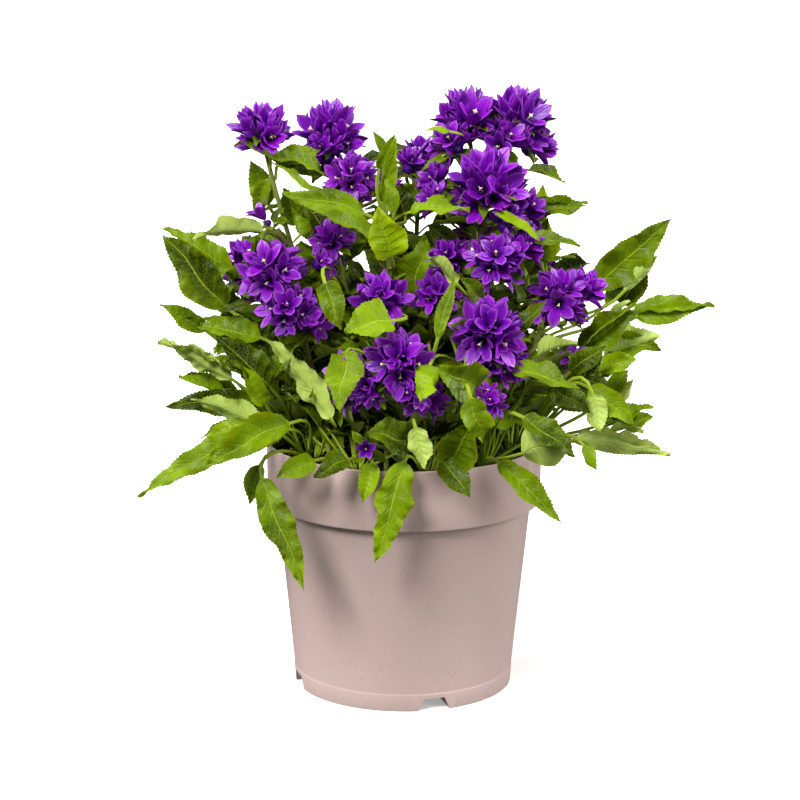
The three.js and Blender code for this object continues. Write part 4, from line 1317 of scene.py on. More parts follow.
@dataclass
class Bell:
    """A five-lobed bell on a head, with its style and stigma. Its measures are shares of its size."""

    place: Callable[[Vector], Vector]
    out: Vector
    first: Vector
    size: float
    twist: float
    opening: Opening
    rises: list[float]
    spreads: list[float]
    slants: tuple[float, ...]
    columns: int = 6
    outer_rows: int = 4
    inner_rows: int = 3

    @property
    def is_shut(self) -> bool:
        """Whether it is still closed."""
        return self.opening is Opening.CLOSED

    def at(self, angle: float, rise: float, spread: float) -> Vector:
        """Returns a point from its angle, its rise and its spread, as shares of the bell's size."""
        second = self.out.cross(self.first)
        point = self.out * rise + (self.first * math.cos(angle) + second * math.sin(angle)) * spread
        return self.place(point * self.size)

    @staticmethod
    def swung(v: float) -> float:
        """Swings a point round towards the next notch, which makes the lobes broad."""
        lobe = round(v * LOBES)
        off = v * LOBES - lobe
        return (lobe + off * (1.44 - 0.88 * abs(off))) / LOBES

    def rim(self, v: float) -> tuple[float, float, float]:
        """Follows the rim from notch to tip.

        Args:
            v: the share of the way round.

        Returns:
            The share of the way from a notch to a tip, the rise and the spread.
        """
        lobe = round(v * LOBES)
        c = max(0.0, 1 - abs(self.swung(v) * LOBES - lobe) * 2) ** 0.6
        notch = SLIT_SPREAD * (0.75 if self.is_shut else 1)
        rise = SLIT_RISE + (self.rises[lobe % LOBES] - SLIT_RISE) * c
        return c, rise, notch + (self.spreads[lobe % LOBES] - notch) * c

    def grow(self, bm: bmesh.types.BMesh, tint: float) -> None:
        """Adds the bell to a mesh: up its outside to the rim and down into its throat.

        Args:
            bm: the mesh.
            tint: a number that varies its violet.
        """
        rows = self.outer_rows + self.inner_rows
        waist = 0.13 if self.is_shut else 0.165

        def shape(u: float, v: float) -> Vector:
            """Places a point of the bell, on a cubic curve up to the rim or down from it."""
            row = round(u * rows)
            c, rise, spread = self.rim(v)
            knee = 0.44 + (0.6 - 0.5 * spread) * c
            belly = waist + 0.08 * c
            if row <= self.outer_rows:
                w = row / self.outer_rows
                profile = ((0.0, 0.14), (waist, 0.22), (belly, knee), (spread, rise))
                bend = w * w
            else:
                w = (row - self.outer_rows) / self.inner_rows
                profile = ((spread, rise), (belly - 0.03, knee + 0.02), (0.12, 0.4), (0.0, 0.32))
                bend = (1 - w) ** 2
            k = (1 - w) ** 3, 3 * w * (1 - w) ** 2, 3 * w * w * (1 - w), w**3
            radius, height = (sum(share * p[axis] for share, p in zip(k, profile)) for axis in (0, 1))
            radius += LOBE_KEEL * c**3 * math.sin(math.pi * w)
            slant = self.slants[round(v * LOBES) % LOBES] * c
            turn = math.tau * self.swung(v) + self.twist + slant * bend
            return self.at(turn, height, max(radius, 0.0))

        def chart(u: float, v: float) -> Pair:
            """Gives the share from base to rim and on to the throat, and the lobes round it."""
            row = round(u * rows)
            if row <= self.outer_rows:
                return 0.5 * row / self.outer_rows, v * LOBES
            return 0.5 + 0.5 * (row - self.outer_rows) / self.inner_rows, v * LOBES

        warp_tube(
            bm, rows, LOBES * self.columns, shape, chart, slot=Tissue.PETAL.value, tint=tint,
            rims=(self.outer_rows / rows,),
        )
        if not self.is_shut and self.columns > 4:
            self.grow_style(bm)

    def grow_style(self, bm: bmesh.types.BMesh) -> None:
        """Adds the style, which parts into three lobes at its top."""

        def shape(u: float, v: float) -> Vector:
            """Places a point of the style."""
            height = 0.36 + 0.3 * min(1.0, u * 1.25)
            star = max(0.0, math.cos(1.5 * math.tau * v * 2)) ** 2
            radius = 0.02 if u < 0.7 else 0.02 + 0.05 * star
            closed = u < 0.01 or u > 0.99
            return self.at(math.tau * v, height, 0.0 if closed else radius)

        warp_tube(bm, 5, 12, shape, lambda u, v: (u, v), slot=Tissue.STIGMA.value)


@dataclass
class Cluster:
    """One ball of bells in a head."""

    middle: Vector
    axis: Vector
    reach: float
    florets: int
    seed: int

    def __post_init__(self) -> None:
        """Makes the axis one long."""
        self.axis = self.axis.normalized()

    @property
    def core(self) -> float:
        """The radius of the core that the bells stand on."""
        return CORE_SHARE * self.reach * CORE_CORNERS

    @property
    def lift(self) -> float:
        """How far the bells gather upwards, from none on a head that nods to one on an upright head."""
        return max(0.0, self.axis.z - 0.8) / 0.2

    @property
    def seat(self) -> Vector:
        """The point just under the flat bottom of the core, where the stem ends."""
        drop = lean_core(Matrix.Rotation(BOTTOM_CORNER, 3, "X") @ -UP).z
        return self.middle - self.axis * (abs(drop) * self.core + GAP)

    def grow(self, bm: bmesh.types.BMesh) -> int:
        """Adds the cluster's bells, those of its solid first and smaller ones between them.

        Args:
            bm: the mesh.

        Returns:
            The number of bells.
        """
        draw = Draw(self.seed)
        spin = Quaternion(UP, draw.next() * math.tau)
        lean = UP.rotation_difference(self.axis)
        drop = self.axis * HEAD.sink * self.lift * self.reach

        def place(point: Vector) -> Vector:
            """Moves a point of the head to its place on the plant."""
            return self.middle - drop + lean @ (spin @ point)

        for index, (middle, corner) in enumerate(FACES.faces[: self.florets]):
            out = (lean_core(middle) + UP * HEAD.turn_up * self.lift).normalized()
            first = (corner - out * corner.dot(out)).normalized()
            growth = 1 + HEAD.growth * self.lift * max(0.0, out.z)
            size = self.reach * draw.around(*HEAD.size) * growth
            twist = draw.around(*HEAD.twist)
            is_shut = index > 0 and draw.next() < HEAD.shut_chance
            rises, spreads = [], []
            for _ in range(LOBES):
                spreads.append(TIP_SPREAD * (SHUT_SPREAD if is_shut else draw.around(*HEAD.spread)))
                rises.append(TIP_RISE * draw.around(*HEAD.rise))
            flare = LOOKS.around(HEAD.flare[0] - HEAD.close * self.lift, HEAD.flare[1])
            Bell(
                place, out, first, size, twist, Opening.CLOSED if is_shut else Opening.OPEN,
                [rise * (1.06 - 0.11 * flare) for rise in rises],
                [spread * flare * LOOKS.around(*HEAD.lobe_spread) for spread in spreads],
                tuple(LOOKS.around(*HEAD.slant) for _ in range(LOBES)),
            ).grow(bm, LOOKS.next())
        self.grow_heart(bm, self.middle - drop)
        return self.florets + self.grow_between(bm, place) + self.grow_skirt(bm, place)

    def grow_heart(self, bm: bmesh.types.BMesh, centre: Vector) -> None:
        """Adds the dark core that the bells hide."""
        radius = self.core * (0.9 if self.florets > 2 else 0.4)
        made = bmesh.ops.create_icosphere(bm, subdivisions=2, radius=radius)
        bmesh.ops.translate(bm, verts=made["verts"], vec=centre)

    def grow_between(self, bm: bmesh.types.BMesh, place: Callable[[Vector], Vector]) -> int:
        """Adds bells over every other corner between those of the solid.

        Args:
            bm: the mesh.
            place: moves a point of the head to the plant.

        Returns:
            The number of bells.
        """
        lowest = FACES.faces[min(self.florets, 12) - 1][0].z
        gaps = [corner for corner in FACES.corners if corner.z > lowest - 0.1][::2]
        gaps = gaps[: self.florets // 2] if self.florets < 5 else gaps
        for corner in gaps:
            upright = max(0.0, corner.z)
            out = lean_core(corner) + UP * (0.4 + 0.3 * self.lift) * upright
            self.grow_further(bm, place, out, 0.74 + (0.2 + 0.4 * self.lift) * upright)
        return len(gaps)

    def grow_skirt(self, bm: bmesh.types.BMesh, place: Callable[[Vector], Vector]) -> int:
        """Adds four bells low down round a large head.

        Args:
            bm: the mesh.
            place: moves a point of the head to the plant.

        Returns:
            The number of bells.
        """
        count = 4 if self.florets > 6 else 0
        under = self.axis * (0.24 - 0.2 * self.lift) * self.reach
        for i in range(count):
            out = heading(math.tau * i / count) + UP * 0.25
            self.grow_further(bm, lambda point: place(point) - under, out, 0.9)
        return count

    def grow_further(
        self, bm: bmesh.types.BMesh, place: Callable[[Vector], Vector], out: Vector, size: float
    ) -> None:
        """Adds one of the bells that the solid leaves out, which fill its gaps and its skirt.

        Args:
            bm: the mesh.
            place: moves a point of the head to the plant.
            out: the bell's direction.
            size: its size as a share of the head's reach.
        """
        stray = Vector([LOOKS.around(*HEAD.stray) for _ in range(3)])
        out = (out.normalized() + stray).normalized()
        is_shut = LOOKS.next() < HEAD.further_shut_chance
        spread = TIP_SPREAD * (SHUT_SPREAD if is_shut else LOOKS.around(*HEAD.further_spread))
        Bell(
            place, out, out.orthogonal().normalized(), self.reach * LOOKS.around(size, 0.1),
            LOOKS.next() * math.tau, Opening.CLOSED if is_shut else Opening.OPEN,
            [TIP_RISE * LOOKS.around(*HEAD.further_rise) for _ in range(LOBES)],
            [spread * LOOKS.around(*HEAD.further_lobe_spread) for _ in range(LOBES)],
            tuple(LOOKS.around(*HEAD.further_slant) for _ in range(LOBES)),
            columns=4, outer_rows=3, inner_rows=2,
        ).grow(bm, LOOKS.next())

    def grow_bracts(self, bm: bmesh.types.BMesh) -> None:
        """Adds the whorl of bracts under the cluster.

        Args:
            bm: the mesh.
        """
        draw = Draw(self.seed + 5)
        first = self.axis.orthogonal().normalized()
        count = 7 if self.florets > 5 else 4
        for i in range(count):
            angle = math.tau * (i + draw.around(0, 0.2)) / count
            side = first * math.cos(angle) + self.axis.cross(first) * math.sin(angle)
            slope = draw.around(*HEAD.bract_slope)
            way = side * math.cos(slope) + self.axis * math.sin(slope)
            base = self.seat + way * 0.16 * self.reach
            tip = self.seat + way * self.reach * draw.around(*HEAD.bract_length)
            width = HEAD.bract_width * self.reach
            bract = Leaf(base, tip, width, 2.0, self.axis, 0.0, 2, tooth=4.5, across=4)
            bract.root = self.seat - self.axis * 1.5
            bract.grow(bm, draw)


@dataclass
class Green:
    """What one node of stems and leaves grows from: a stem's path, or a crown."""

    name: str
    foot: Vector
    turn: float
    path: Curve | None = None
    branches: list[Curve] = field(default_factory=list)
    leaves: list[Leaf] = field(default_factory=list)

    @property
    def is_back(self) -> bool:
        """Whether it stands in the plant's back half."""
        return self.turn > 0

    def root_of(self, base: Vector) -> Vector:
        """Finds where the petiole of a blade starts, inside the stem or the crown.

        Args:
            base: the blade's base.

        Returns:
            The petiole's root.
        """
        if self.path:
            away = math.hypot(base.x - self.foot.x, base.y - self.foot.y)
            return point_at_height(self.path, base.z - 4 - 0.25 * away)
        crown = Vector((self.foot.x, self.foot.y, SOIL_TOP + CROWN_HEIGHT - 1.5))
        out = Vector((base.x - crown.x, base.y - crown.y, 0.0)).normalized()
        return crown + out * (CROWN_RADIUS - 2.5)

    def grow(self) -> bpy.types.Object:
        """Builds the stem or crown with all its leaves as one piece.

        Returns:
            The piece.
        """
        bm = bmesh.new()
        draw = Draw(sum(ord(letter) for letter in self.name) * 37)
        if self.path:
            grow_stalk(bm, self.path, (STEM_RADIUS, 0.82 * STEM_RADIUS), 26, below=ROOT_DEPTH)
            for branch in self.branches:
                grow_stalk(bm, branch, (BRANCH_RADIUS, 0.85 * BRANCH_RADIUS), 10)
        else:
            post = Curve(*(self.foot + UP * (SOIL_TOP + rise) for rise in (0, 2, 4.5)))
            grow_stalk(bm, post, (0.9 * CROWN_RADIUS, 0.6 * CROWN_RADIUS), 8, below=ROOT_DEPTH)
        for leaf in self.leaves:
            leaf.grow(bm, draw)
        return finish_mesh(bm, f"leafy_{self.name}", (LEAF.material(), STALK.material()))


def point_at_height(path: Curve, height: float) -> Vector:
    """Returns the point on a path nearest to a height, not too near its ends."""
    points = [path.point(i / 100) for i in range(6, 93)]
    return min(points, key=lambda point: abs(point.z - height))


def stem_path(foot: Vector, seat: Vector, axis: Vector) -> Curve:
    """Draws a stem from the soil up into the axis of what it carries.

    Args:
        foot: where it leaves the soil.
        seat: where it ends.
        axis: its direction there, one long.

    Returns:
        The stem's path.
    """
    start = Vector((foot.x, foot.y, SOIL_TOP + 1))
    height = seat.z - start.z
    return Curve(start, start + UP * HANDLE * height, seat - axis * 0.25 * height, seat)


def branch_path(stem: Curve, cluster: Cluster) -> Curve:
    """Draws a branch from its stem into a cluster.

    Args:
        stem: the stem's path.
        cluster: the cluster.

    Returns:
        The branch's path.
    """
    start = point_at_height(stem, cluster.seat.z - 26)
    reach = (cluster.seat - start).length
    settle = cluster.seat - cluster.axis * 0.4 * reach
    return Curve(start, start + UP * 0.3 * reach, settle, cluster.seat)


class Plant:
    """The whole bellflower: greens, heads and the leaves set on them."""

    def __init__(self) -> None:
        """Sets out the stems, crowns and heads, then their leaves."""
        self.draw = Draw(11)
        self.greens: dict[str, Green] = {}
        self.heads: dict[str, list[Cluster]] = {}
        for stem in STEMS:
            self.raise_stem(stem, stem.name, 0.0)
        for front, back in BACK_STEMS.items():
            self.raise_stem(named(STEMS, front), back, math.pi)
        for tuft in TUFTS:
            self.raise_tuft(tuft, tuft.name, 0.0)
        for front, back in BACK_TUFTS.items():
            self.raise_tuft(named(TUFTS, front), back, math.pi)
        for stem, head, middle, axis, reach, florets in FURTHER_CLUSTERS:
            cluster = Cluster(Vector(middle), Vector(axis), reach, florets, round(sum(middle)))
            self.heads[head].append(cluster)
            green = self.greens[f"stem_{stem}"]
            green.branches.append(branch_path(green.path, cluster))
        self.find_leaves(self.set_rows())
        for name, row, age in FURTHER_LEAVES:
            leaf = replace(set_leaf(row, 0.0), age=age)
            leaf.root = self.greens[name].root_of(leaf.base)
            self.greens[name].leaves.append(leaf)
        self.fill_inside()

    def raise_stem(self, stem: Stem, name: str, turn: float) -> None:
        """Sets out a stem with its heads, fewer and smaller ones at the back.

        Args:
            stem: the row that describes it.
            name: its own name.
            turn: its turn about the pot's axis.
        """
        shift = Vector([self.draw.around(0, BACK_DRIFT) for _ in range(3)] if turn else (0, 0, 0))
        foot = turned(Vector((*stem.foot, 0.0)), turn)
        shown = 1 if turn else 3
        heads = []
        for index, rows in enumerate(stem.heads[:shown]):
            clusters = [
                Cluster(
                    turned(Vector(middle), turn) + shift, turned(Vector(axis), turn), reach,
                    min(florets, BACK_FLORETS) if turn else florets,
                    int(name) * 100 + index * 10 + k,
                )
                for k, (middle, axis, reach, florets) in enumerate(rows[:shown])
            ]
            heads.append(clusters)
            self.heads[name + "abc"[index]] = clusters
        if heads:
            path = stem_path(foot, heads[0][0].seat, heads[0][0].axis)
        else:
            path = stem_path(foot, Vector(stem.top), Vector((0.0, -0.3, 1.0)).normalized())
        branches = [branch_path(path, clusters[0]) for clusters in heads[1:]]
        self.greens[f"stem_{name}"] = Green(f"stem_{name}", foot, turn, path, branches)

    def raise_tuft(self, tuft: Tuft, name: str, turn: float) -> None:
        """Sets out a crown.

        Args:
            tuft: the row that describes it.
            name: its own name.
            turn: its turn about the pot's axis.
        """
        foot = turned(Vector((*tuft.foot, 0.0)), turn)
        self.greens[f"tuft_{name}"] = Green(f"tuft_{name}", foot, turn)

    def set_rows(self) -> dict[str, list[Leaf]]:
        """Lists the leaves set out for each green, before they part from one another.

        Returns:
            The leaves listed one by one, their twins at the back and those set by rule, by node.
        """
        leaves = {name: [] for name in self.greens}
        for rows, kind, twins in ((STEMS, "stem", BACK_STEMS), (TUFTS, "tuft", BACK_TUFTS)):
            for row in rows:
                name = f"{kind}_{row.name}"
                for index, leaf in enumerate(row.leaves):
                    leaves[name].append(replace(set_leaf(leaf, 0.0), age=AGES.get((name, index))))
                    length = (Vector(leaf[0]) - Vector(leaf[1])).length
                    if length >= BACK_LEAF and leaf[1][1] < BACK_LINE and row.name in twins:
                        leaves[f"{kind}_{twins[row.name]}"].append(set_leaf(leaf, math.pi))
        for name, green in self.greens.items():
            if green.path:
                count = BACK_FILL if green.is_back else FRONT_FILL
                leaves[name] += stem_fill(green, count, self.draw)
            elif green.is_back:
                leaves[name] += crown_fill(green, CROWN_FILL, self.draw)
        return leaves

    def find_leaves(self, rows: dict[str, list[Leaf]]) -> None:
        """Gives each green its leaves, in the places where its solid holds them.

        Args:
            rows: the leaves set out for each green.
        """
        found = dropped = 0
        for green in self.greens.values():
            tree = corner_tree(green.name)
            for leaf in rows[green.name]:
                place = next(places(leaf, tree), None)
                if place is None:
                    dropped += 1
                    continue
                place.root = green.root_of(place.base)
                green.leaves.append(place)
                found += 1
        log.info("%d leaves found in the solids, %d not", found, dropped)

    def fill_inside(self) -> None:
        """Adds the leaves inside the plant, which close the view between its stems, in dark greens that
        paint the shade inside it.
        """
        draw = Draw(29)
        hand = [leaf for green in self.greens.values() for leaf in green.leaves]
        shown = [(c.middle, c.reach + 5) for clusters in self.heads.values() for c in clusters]
        shown += [(leaf.base.lerp(leaf.tip, 0.5), 0.7 * leaf.width) for leaf in hand]
        kept = 0
        for green in self.greens.values():
            for leaf in thicket(green, draw):
                if not has_room(leaf) or hides(leaf, shown):
                    continue
                leaf.tooth, leaf.across = 5.0, 4
                # Low ages give these leaves old, dark greens: painted shade inside the plant
                leaf.age = 0.55 * LOOKS.next()
                leaf.root = green.root_of(leaf.base)
                green.leaves.append(leaf)
                kept += 1
        log.info("%d leaves fill the inside", kept)

    def grow(self) -> None:
        """Builds every piece of the plant."""
        for green in self.greens.values():
            declare(green.grow(), "foliage", [green.name])
        for name, clusters in self.heads.items():
            bm = bmesh.new()
            bells = sum(cluster.grow(bm) for cluster in clusters)
            bloom = finish_mesh(bm, f"bloom_{name}", (PETAL.material(), STIGMA.material()))
            declare(bloom, "petals", [f"head_{name}"])
            bm = bmesh.new()
            for cluster in clusters:
                cluster.grow_bracts(bm)
            declare(finish_mesh(bm, f"bracts_{name}", (LEAF.material(),)), "foliage")
            log.info("bloom_%s: %d bells", name, bells)


def named(rows: tuple, name: str) -> Stem | Tuft:
    """Returns the row with a name."""
    return next(row for row in rows if row.name == name)


def places(leaf: Leaf, tree: KDTree) -> Iterable[Leaf]:
    """Yields the partings of a leaf whose tip and last ring are corners of the solid.

    Args:
        leaf: the leaf as it is set out.
        tree: the solid's corners.

    Yields:
        The leaf in each such place.
    """
    for base_shift, tip_shift in partings(leaf.turn):
        if tree.find(leaf.tip + tip_shift)[2] > MATCH:
            continue
        moved = leaf.moved(base_shift, tip_shift)
        if all(tree.find(corner)[2] < MATCH for corner in moved.last_ring()):
            yield moved


def has_room(leaf: Leaf) -> bool:
    """Tells whether a leaf stays within the plant's outline and clear of the rim.

    Args:
        leaf: the leaf.

    Returns:
        Whether its base, middle and tip do.
    """
    for point in (leaf.base, leaf.base.lerp(leaf.tip, 0.5), leaf.tip):
        out = math.hypot(point.x, point.y * (1.35 if point.y < 0 else 1.0))
        room = 0.0
        for (low, near), (high, far) in zip(OUTLINE, OUTLINE[1:]):
            if low <= point.z < high:
                room = near + (far - near) * (point.z - low) / (high - low)
        on_rim = point.z < POT_HEIGHT + 8 and math.hypot(point.x, point.y) > RIM_RADIUS - 8
        if out > room or on_rim:
            return False
    return True


def hides(leaf: Leaf, shown: list[tuple[Vector, float]]) -> bool:
    """Tells whether a leaf stands before a head or before a listed leaf.

    Args:
        leaf: the leaf.
        shown: the middle and the radius of each head and leaf that stays in view.

    Returns:
        Whether it hides any of them.
    """
    for point in (leaf.base.lerp(leaf.tip, 0.15), leaf.base.lerp(leaf.tip, 0.6), leaf.tip):
        for middle, radius in shown:
            away = point - middle
            sight = SIGHT if middle.y < 20 else turned(SIGHT, math.pi)
            depth = away.dot(sight)
            if depth < 0 and (away - sight * depth).length < radius:
                return True
    return False


def corner_tree(node: str) -> KDTree:
    """Indexes the corners of a solid, in millimetres.

    Args:
        node: the solid's name.

    Returns:
        A tree of its corners.
    """
    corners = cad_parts[node].data.vertices
    tree = KDTree(len(corners))
    for i, corner in enumerate(corners):
        tree.insert(corner.co / METRES, i)
    tree.balance()
    return tree


def partings(turn: float) -> Iterable[tuple[Vector, Vector]]:
    """Yields the ways a leaf may part from its neighbours, as shifts of its two ends."""
    steps = range(-4, 5)
    for x, z in ((0, 0), (0, 5), (5, 0), (-5, 0), (0, -5), (0, 10), (10, 0), (-10, 0), (0, -10)):
        for a in steps:
            for b in steps:
                if (x, z) == (0, 0) or max(abs(a), abs(b)) < 3:
                    shifts = (Vector((x, 0, z)) + SIGHT * SIGHT_STEP * k for k in (a, b))
                    yield tuple(turned(shift, turn) for shift in shifts)


def set_leaf(row: LeafRow, turn: float) -> Leaf:
    """Reads a listed leaf.

    Args:
        row: the leaf's row.
        turn: its plant's turn about the pot's axis.

    Returns:
        The leaf.
    """
    base, tip, width, arch, face = row
    angle = math.radians(face)
    upper = turned(Vector((0.0, -math.sin(angle), math.cos(angle))), turn)
    start, end = turned(Vector(base), turn), turned(Vector(tip), turn)
    length = (end - start).length
    steps = 2 + (length > 34) + (length > 58)
    return Leaf(start, end, width, arch, upper, turn, steps)


def ruled_leaf(start: Vector, azimuth: float, slope: float, length: float) -> Leaf:
    """Makes a leaf that points outwards.

    Args:
        start: where its blade starts.
        azimuth: the way it points.
        slope: how steeply it rises.
        length: its blade's length.

    Returns:
        The leaf.
    """
    out = heading(azimuth)
    tip = start + (out * math.cos(slope) + UP * math.sin(slope)) * length
    upper = UP + out * 0.4
    return Leaf(start, tip, 0.36 * length, 0.12 * length, upper, azimuth + math.pi / 2, 2)


def stem_fill(green: Green, count: int, draw: Draw) -> list[Leaf]:
    """Sets leaves up a stem, each turned from the last by the golden angle.

    Args:
        green: the stem.
        count: how many.
        draw: the row of draws.

    Returns:
        The leaves.
    """
    first = draw.next() * math.tau
    leaves = []
    for i in range(count):
        azimuth = first + i * GOLDEN_TURN
        point = green.path.point(0.15 + 0.65 * (i + 0.5) / count)
        start = point + heading(azimuth) * draw.around(11, 3) + UP * 8
        slope = draw.around(0.35, 0.35)
        leaves.append(ruled_leaf(start, azimuth, slope, draw.around(42, 7)))
    return leaves


def crown_fill(green: Green, count: int, draw: Draw) -> list[Leaf]:
    """Sets leaves round the outer side of a crown.

    Args:
        green: the crown.
        count: how many.
        draw: the row of draws.

    Returns:
        The leaves.
    """
    leaves = []
    for i in range(count):
        share = -1 + 2 * (i + 0.5) / count
        azimuth = math.atan2(green.foot.y, green.foot.x) + share + draw.around(0, 0.15)
        height = SOIL_TOP + draw.around(46, 22)
        start = Vector((green.foot.x, green.foot.y, height)) + heading(azimuth) * draw.around(40, 10)
        slope = draw.around(0, 0.6)
        leaves.append(ruled_leaf(start, azimuth, slope, draw.around(54, 9)))
    return leaves


def thicket(green: Green, draw: Draw) -> list[Leaf]:
    """Sets out leaves all round a stem or a crown.

    Args:
        green: the stem or the crown.
        draw: the row of draws.

    Returns:
        The leaves.
    """
    leaves = []
    first = draw.next() * math.tau
    for i in range(THICKET):
        azimuth = first + i * GOLDEN_TURN
        if green.path:
            point = green.path.point(0.06 + 0.84 * (i + 0.5) / THICKET)
            start = point + heading(azimuth) * draw.around(15, 9) + UP * 7
            slope = draw.around(0.2, 0.6)
        else:
            height = SOIL_TOP + 14 + 95 * draw.next() ** 1.4
            point = Vector((green.foot.x, green.foot.y, height))
            start = point + heading(azimuth) * draw.around(30, 20)
            slope = draw.around(0.0, 0.7)
        leaf = ruled_leaf(start, azimuth, slope, draw.around(52, 14))
        leaf.width *= draw.around(1.15, 0.2)
        leaves.append(leaf)
    return leaves


def spin_profile(bm: bmesh.types.BMesh, profile: list[Pair], sides: int) -> None:
    """Spins a profile that starts and ends on the axis into a closed body.

    Args:
        bm: the mesh that it is added to.
        profile: its radii and heights.
        sides: the number of faces round it.
    """
    verts = [bm.verts.new((radius, 0.0, height)) for radius, height in profile]
    edges = [bm.edges.new(pair) for pair in zip(verts, verts[1:])]
    bmesh.ops.spin(
        bm, geom=verts + edges, cent=(0, 0, 0), axis=(0, 0, 1), angle=math.tau, steps=sides,
        use_merge=True,
    )
    bmesh.ops.remove_doubles(bm, verts=bm.verts, dist=10 * WELD)


@dataclass
class Pot:
    """The moulded pot: one wall with a deep collar and four drainage pockets under its base."""

    sides: int = 96
    pocket_turn: float = math.radians(16.4)
    pocket_count: int = 4
    pocket_width: float = 23.6
    roof_width: float = 14.5
    pocket_height: float = 9.0
    pocket_depth: float = 32.0
    drain_radius: float = 5.0
    sharp_angle: float = math.radians(32.0)

    def outside(self) -> list[Pair]:
        """Lists the outer profile as radius and height, from the base to the rim."""
        collar = POT_HEIGHT - COLLAR_HEIGHT
        return [
            (FOOT_RADIUS - 0.9, 0.0), (FOOT_RADIUS - 0.2, 0.3), (FOOT_RADIUS, 1.0),
            (FOOT_RADIUS + 0.72, FOOT_BAND - 0.5), (FOOT_RADIUS + 0.68, FOOT_BAND),
            (FOOT_RADIUS + 0.56, FOOT_BAND + 0.3), (FOOT_RADIUS + 0.6, FOOT_BAND + 0.9),
            (SHOULDER_RADIUS, collar - 2), (SHOULDER_RADIUS + 0.8, collar - 0.7),
            (RIM_RADIUS - 2.2, collar - 0.1), (RIM_RADIUS - 1.0, collar + 0.3),
            (RIM_RADIUS - 0.4, collar + 1.4), (RIM_RADIUS, POT_HEIGHT - 1.6),
            (RIM_RADIUS - 0.2, POT_HEIGHT - 0.6), (RIM_RADIUS - 0.9, POT_HEIGHT),
        ]

    def inside(self) -> list[Pair]:
        """Lists the inner profile, from the rim down to the floor."""
        collar = POT_HEIGHT - COLLAR_HEIGHT
        return [
            (RIM_RADIUS - WALL + 0.5, POT_HEIGHT - 0.1), (RIM_RADIUS - WALL, POT_HEIGHT - 0.8),
            (RIM_RADIUS - WALL - 0.5, collar + 2), (SHOULDER_RADIUS - WALL, collar - 1),
            (FOOT_RADIUS - WALL + 0.3, WALL + 1.2), (FOOT_RADIUS - WALL - 0.8, WALL),
        ]

    def spun(self, profile: list[Pair], name: str) -> bpy.types.Object:
        """Returns a profile spun into a closed body."""
        bm = bmesh.new()
        spin_profile(bm, profile, self.sides)
        return finish_mesh(bm, name, (POT.material(),))

    def turns(self) -> list[float]:
        """Lists the pockets' angles about the axis."""
        return [self.pocket_turn + i * math.tau / self.pocket_count for i in range(self.pocket_count)]

    def bars(self, grow: float, name: str) -> bpy.types.Object:
        """Makes the pockets' bars of trapezoid section.

        Args:
            grow: how much larger they are all round.
            name: the body's name.

        Returns:
            The bars as one body.
        """
        bm = bmesh.new()
        inner = FOOT_RADIUS - self.pocket_depth - grow
        for turn in self.turns():
            cube = bmesh.ops.create_cube(bm, size=1.0)["verts"]
            for vert in cube:
                top = vert.co.z > 0
                half = (self.roof_width if top else self.pocket_width) / 2 + grow
                vert.co.x = math.copysign(half, vert.co.x)
                vert.co.y = -inner if vert.co.y > 0 else -RIM_RADIUS
                vert.co.z = self.pocket_height + grow if top else -1.0
            bmesh.ops.rotate(bm, verts=cube, cent=(0, 0, 0), matrix=Matrix.Rotation(turn, 3, "Z"))
        return finish_mesh(bm, name, ())

    def drains(self) -> bpy.types.Object:
        """Makes the drills of the drain holes in the pockets' roofs.

        Returns:
            The drills as one body.
        """
        bm = bmesh.new()
        for turn in self.turns():
            drill = bmesh.ops.create_cone(
                bm, cap_ends=True, segments=24, radius1=self.drain_radius,
                radius2=self.drain_radius, depth=3 * self.pocket_height,
            )["verts"]
            middle = turned(Vector((0.0, -(FOOT_RADIUS - self.pocket_depth / 2), 4.0)), turn)
            bmesh.ops.translate(bm, verts=drill, vec=middle)
        return finish_mesh(bm, "pot_drains", ())

    def build(self) -> None:
        body = [(0.0, 0.0), *self.outside()]
        pot = self.spun([*body, *self.inside(), (0.0, WALL)], "nursery_pot")
        solid = self.spun([*body, (0.0, POT_HEIGHT)], "pot_outside")
        walls = self.bars(WALL, "pocket_walls")
        combine(walls, solid, "INTERSECT")
        combine(pot, walls, "UNION")
        for tool in (self.bars(0.0, "pocket_bars"), self.drains()):
            combine(pot, tool, "DIFFERENCE")
        pot.data.materials.clear()
        pot.data.materials.append(POT.material())
        smooth_by_angle(pot, self.sharp_angle)
        declare(pot, "pot", ["pot"])


def combine(piece: bpy.types.Object, tool: bpy.types.Object, operation: str) -> None:
    """Joins or cuts a piece with a tool, applies the result and removes the tool.

    Args:
        piece: the piece that changes.
        tool: the other body.
        operation: UNION, DIFFERENCE or INTERSECT.
    """
    boolean = piece.modifiers.new("combine", "BOOLEAN")
    boolean.operation, boolean.object, boolean.solver = operation, tool, "EXACT"
    evaluated = piece.evaluated_get(bpy.context.evaluated_depsgraph_get())
    mesh = bpy.data.meshes.new_from_object(evaluated)
    piece.modifiers.clear()
    piece.data = mesh
    bpy.data.objects.remove(tool)


def smooth_by_angle(piece: bpy.types.Object, angle: float) -> None:
    """Shades a piece smoothly, with sharp edges where its faces meet at more than an angle.

    Args:
        piece: the piece.
        angle: the angle, in radians.
    """
    bm = bmesh.new()
    bm.from_mesh(piece.data)
    for face in bm.faces:
        face.smooth = True
    for edge in bm.edges:
        edge.smooth = len(edge.link_faces) == 2 and edge.calc_face_angle(0.0) < angle
    bm.to_mesh(piece.data)
    bm.free()


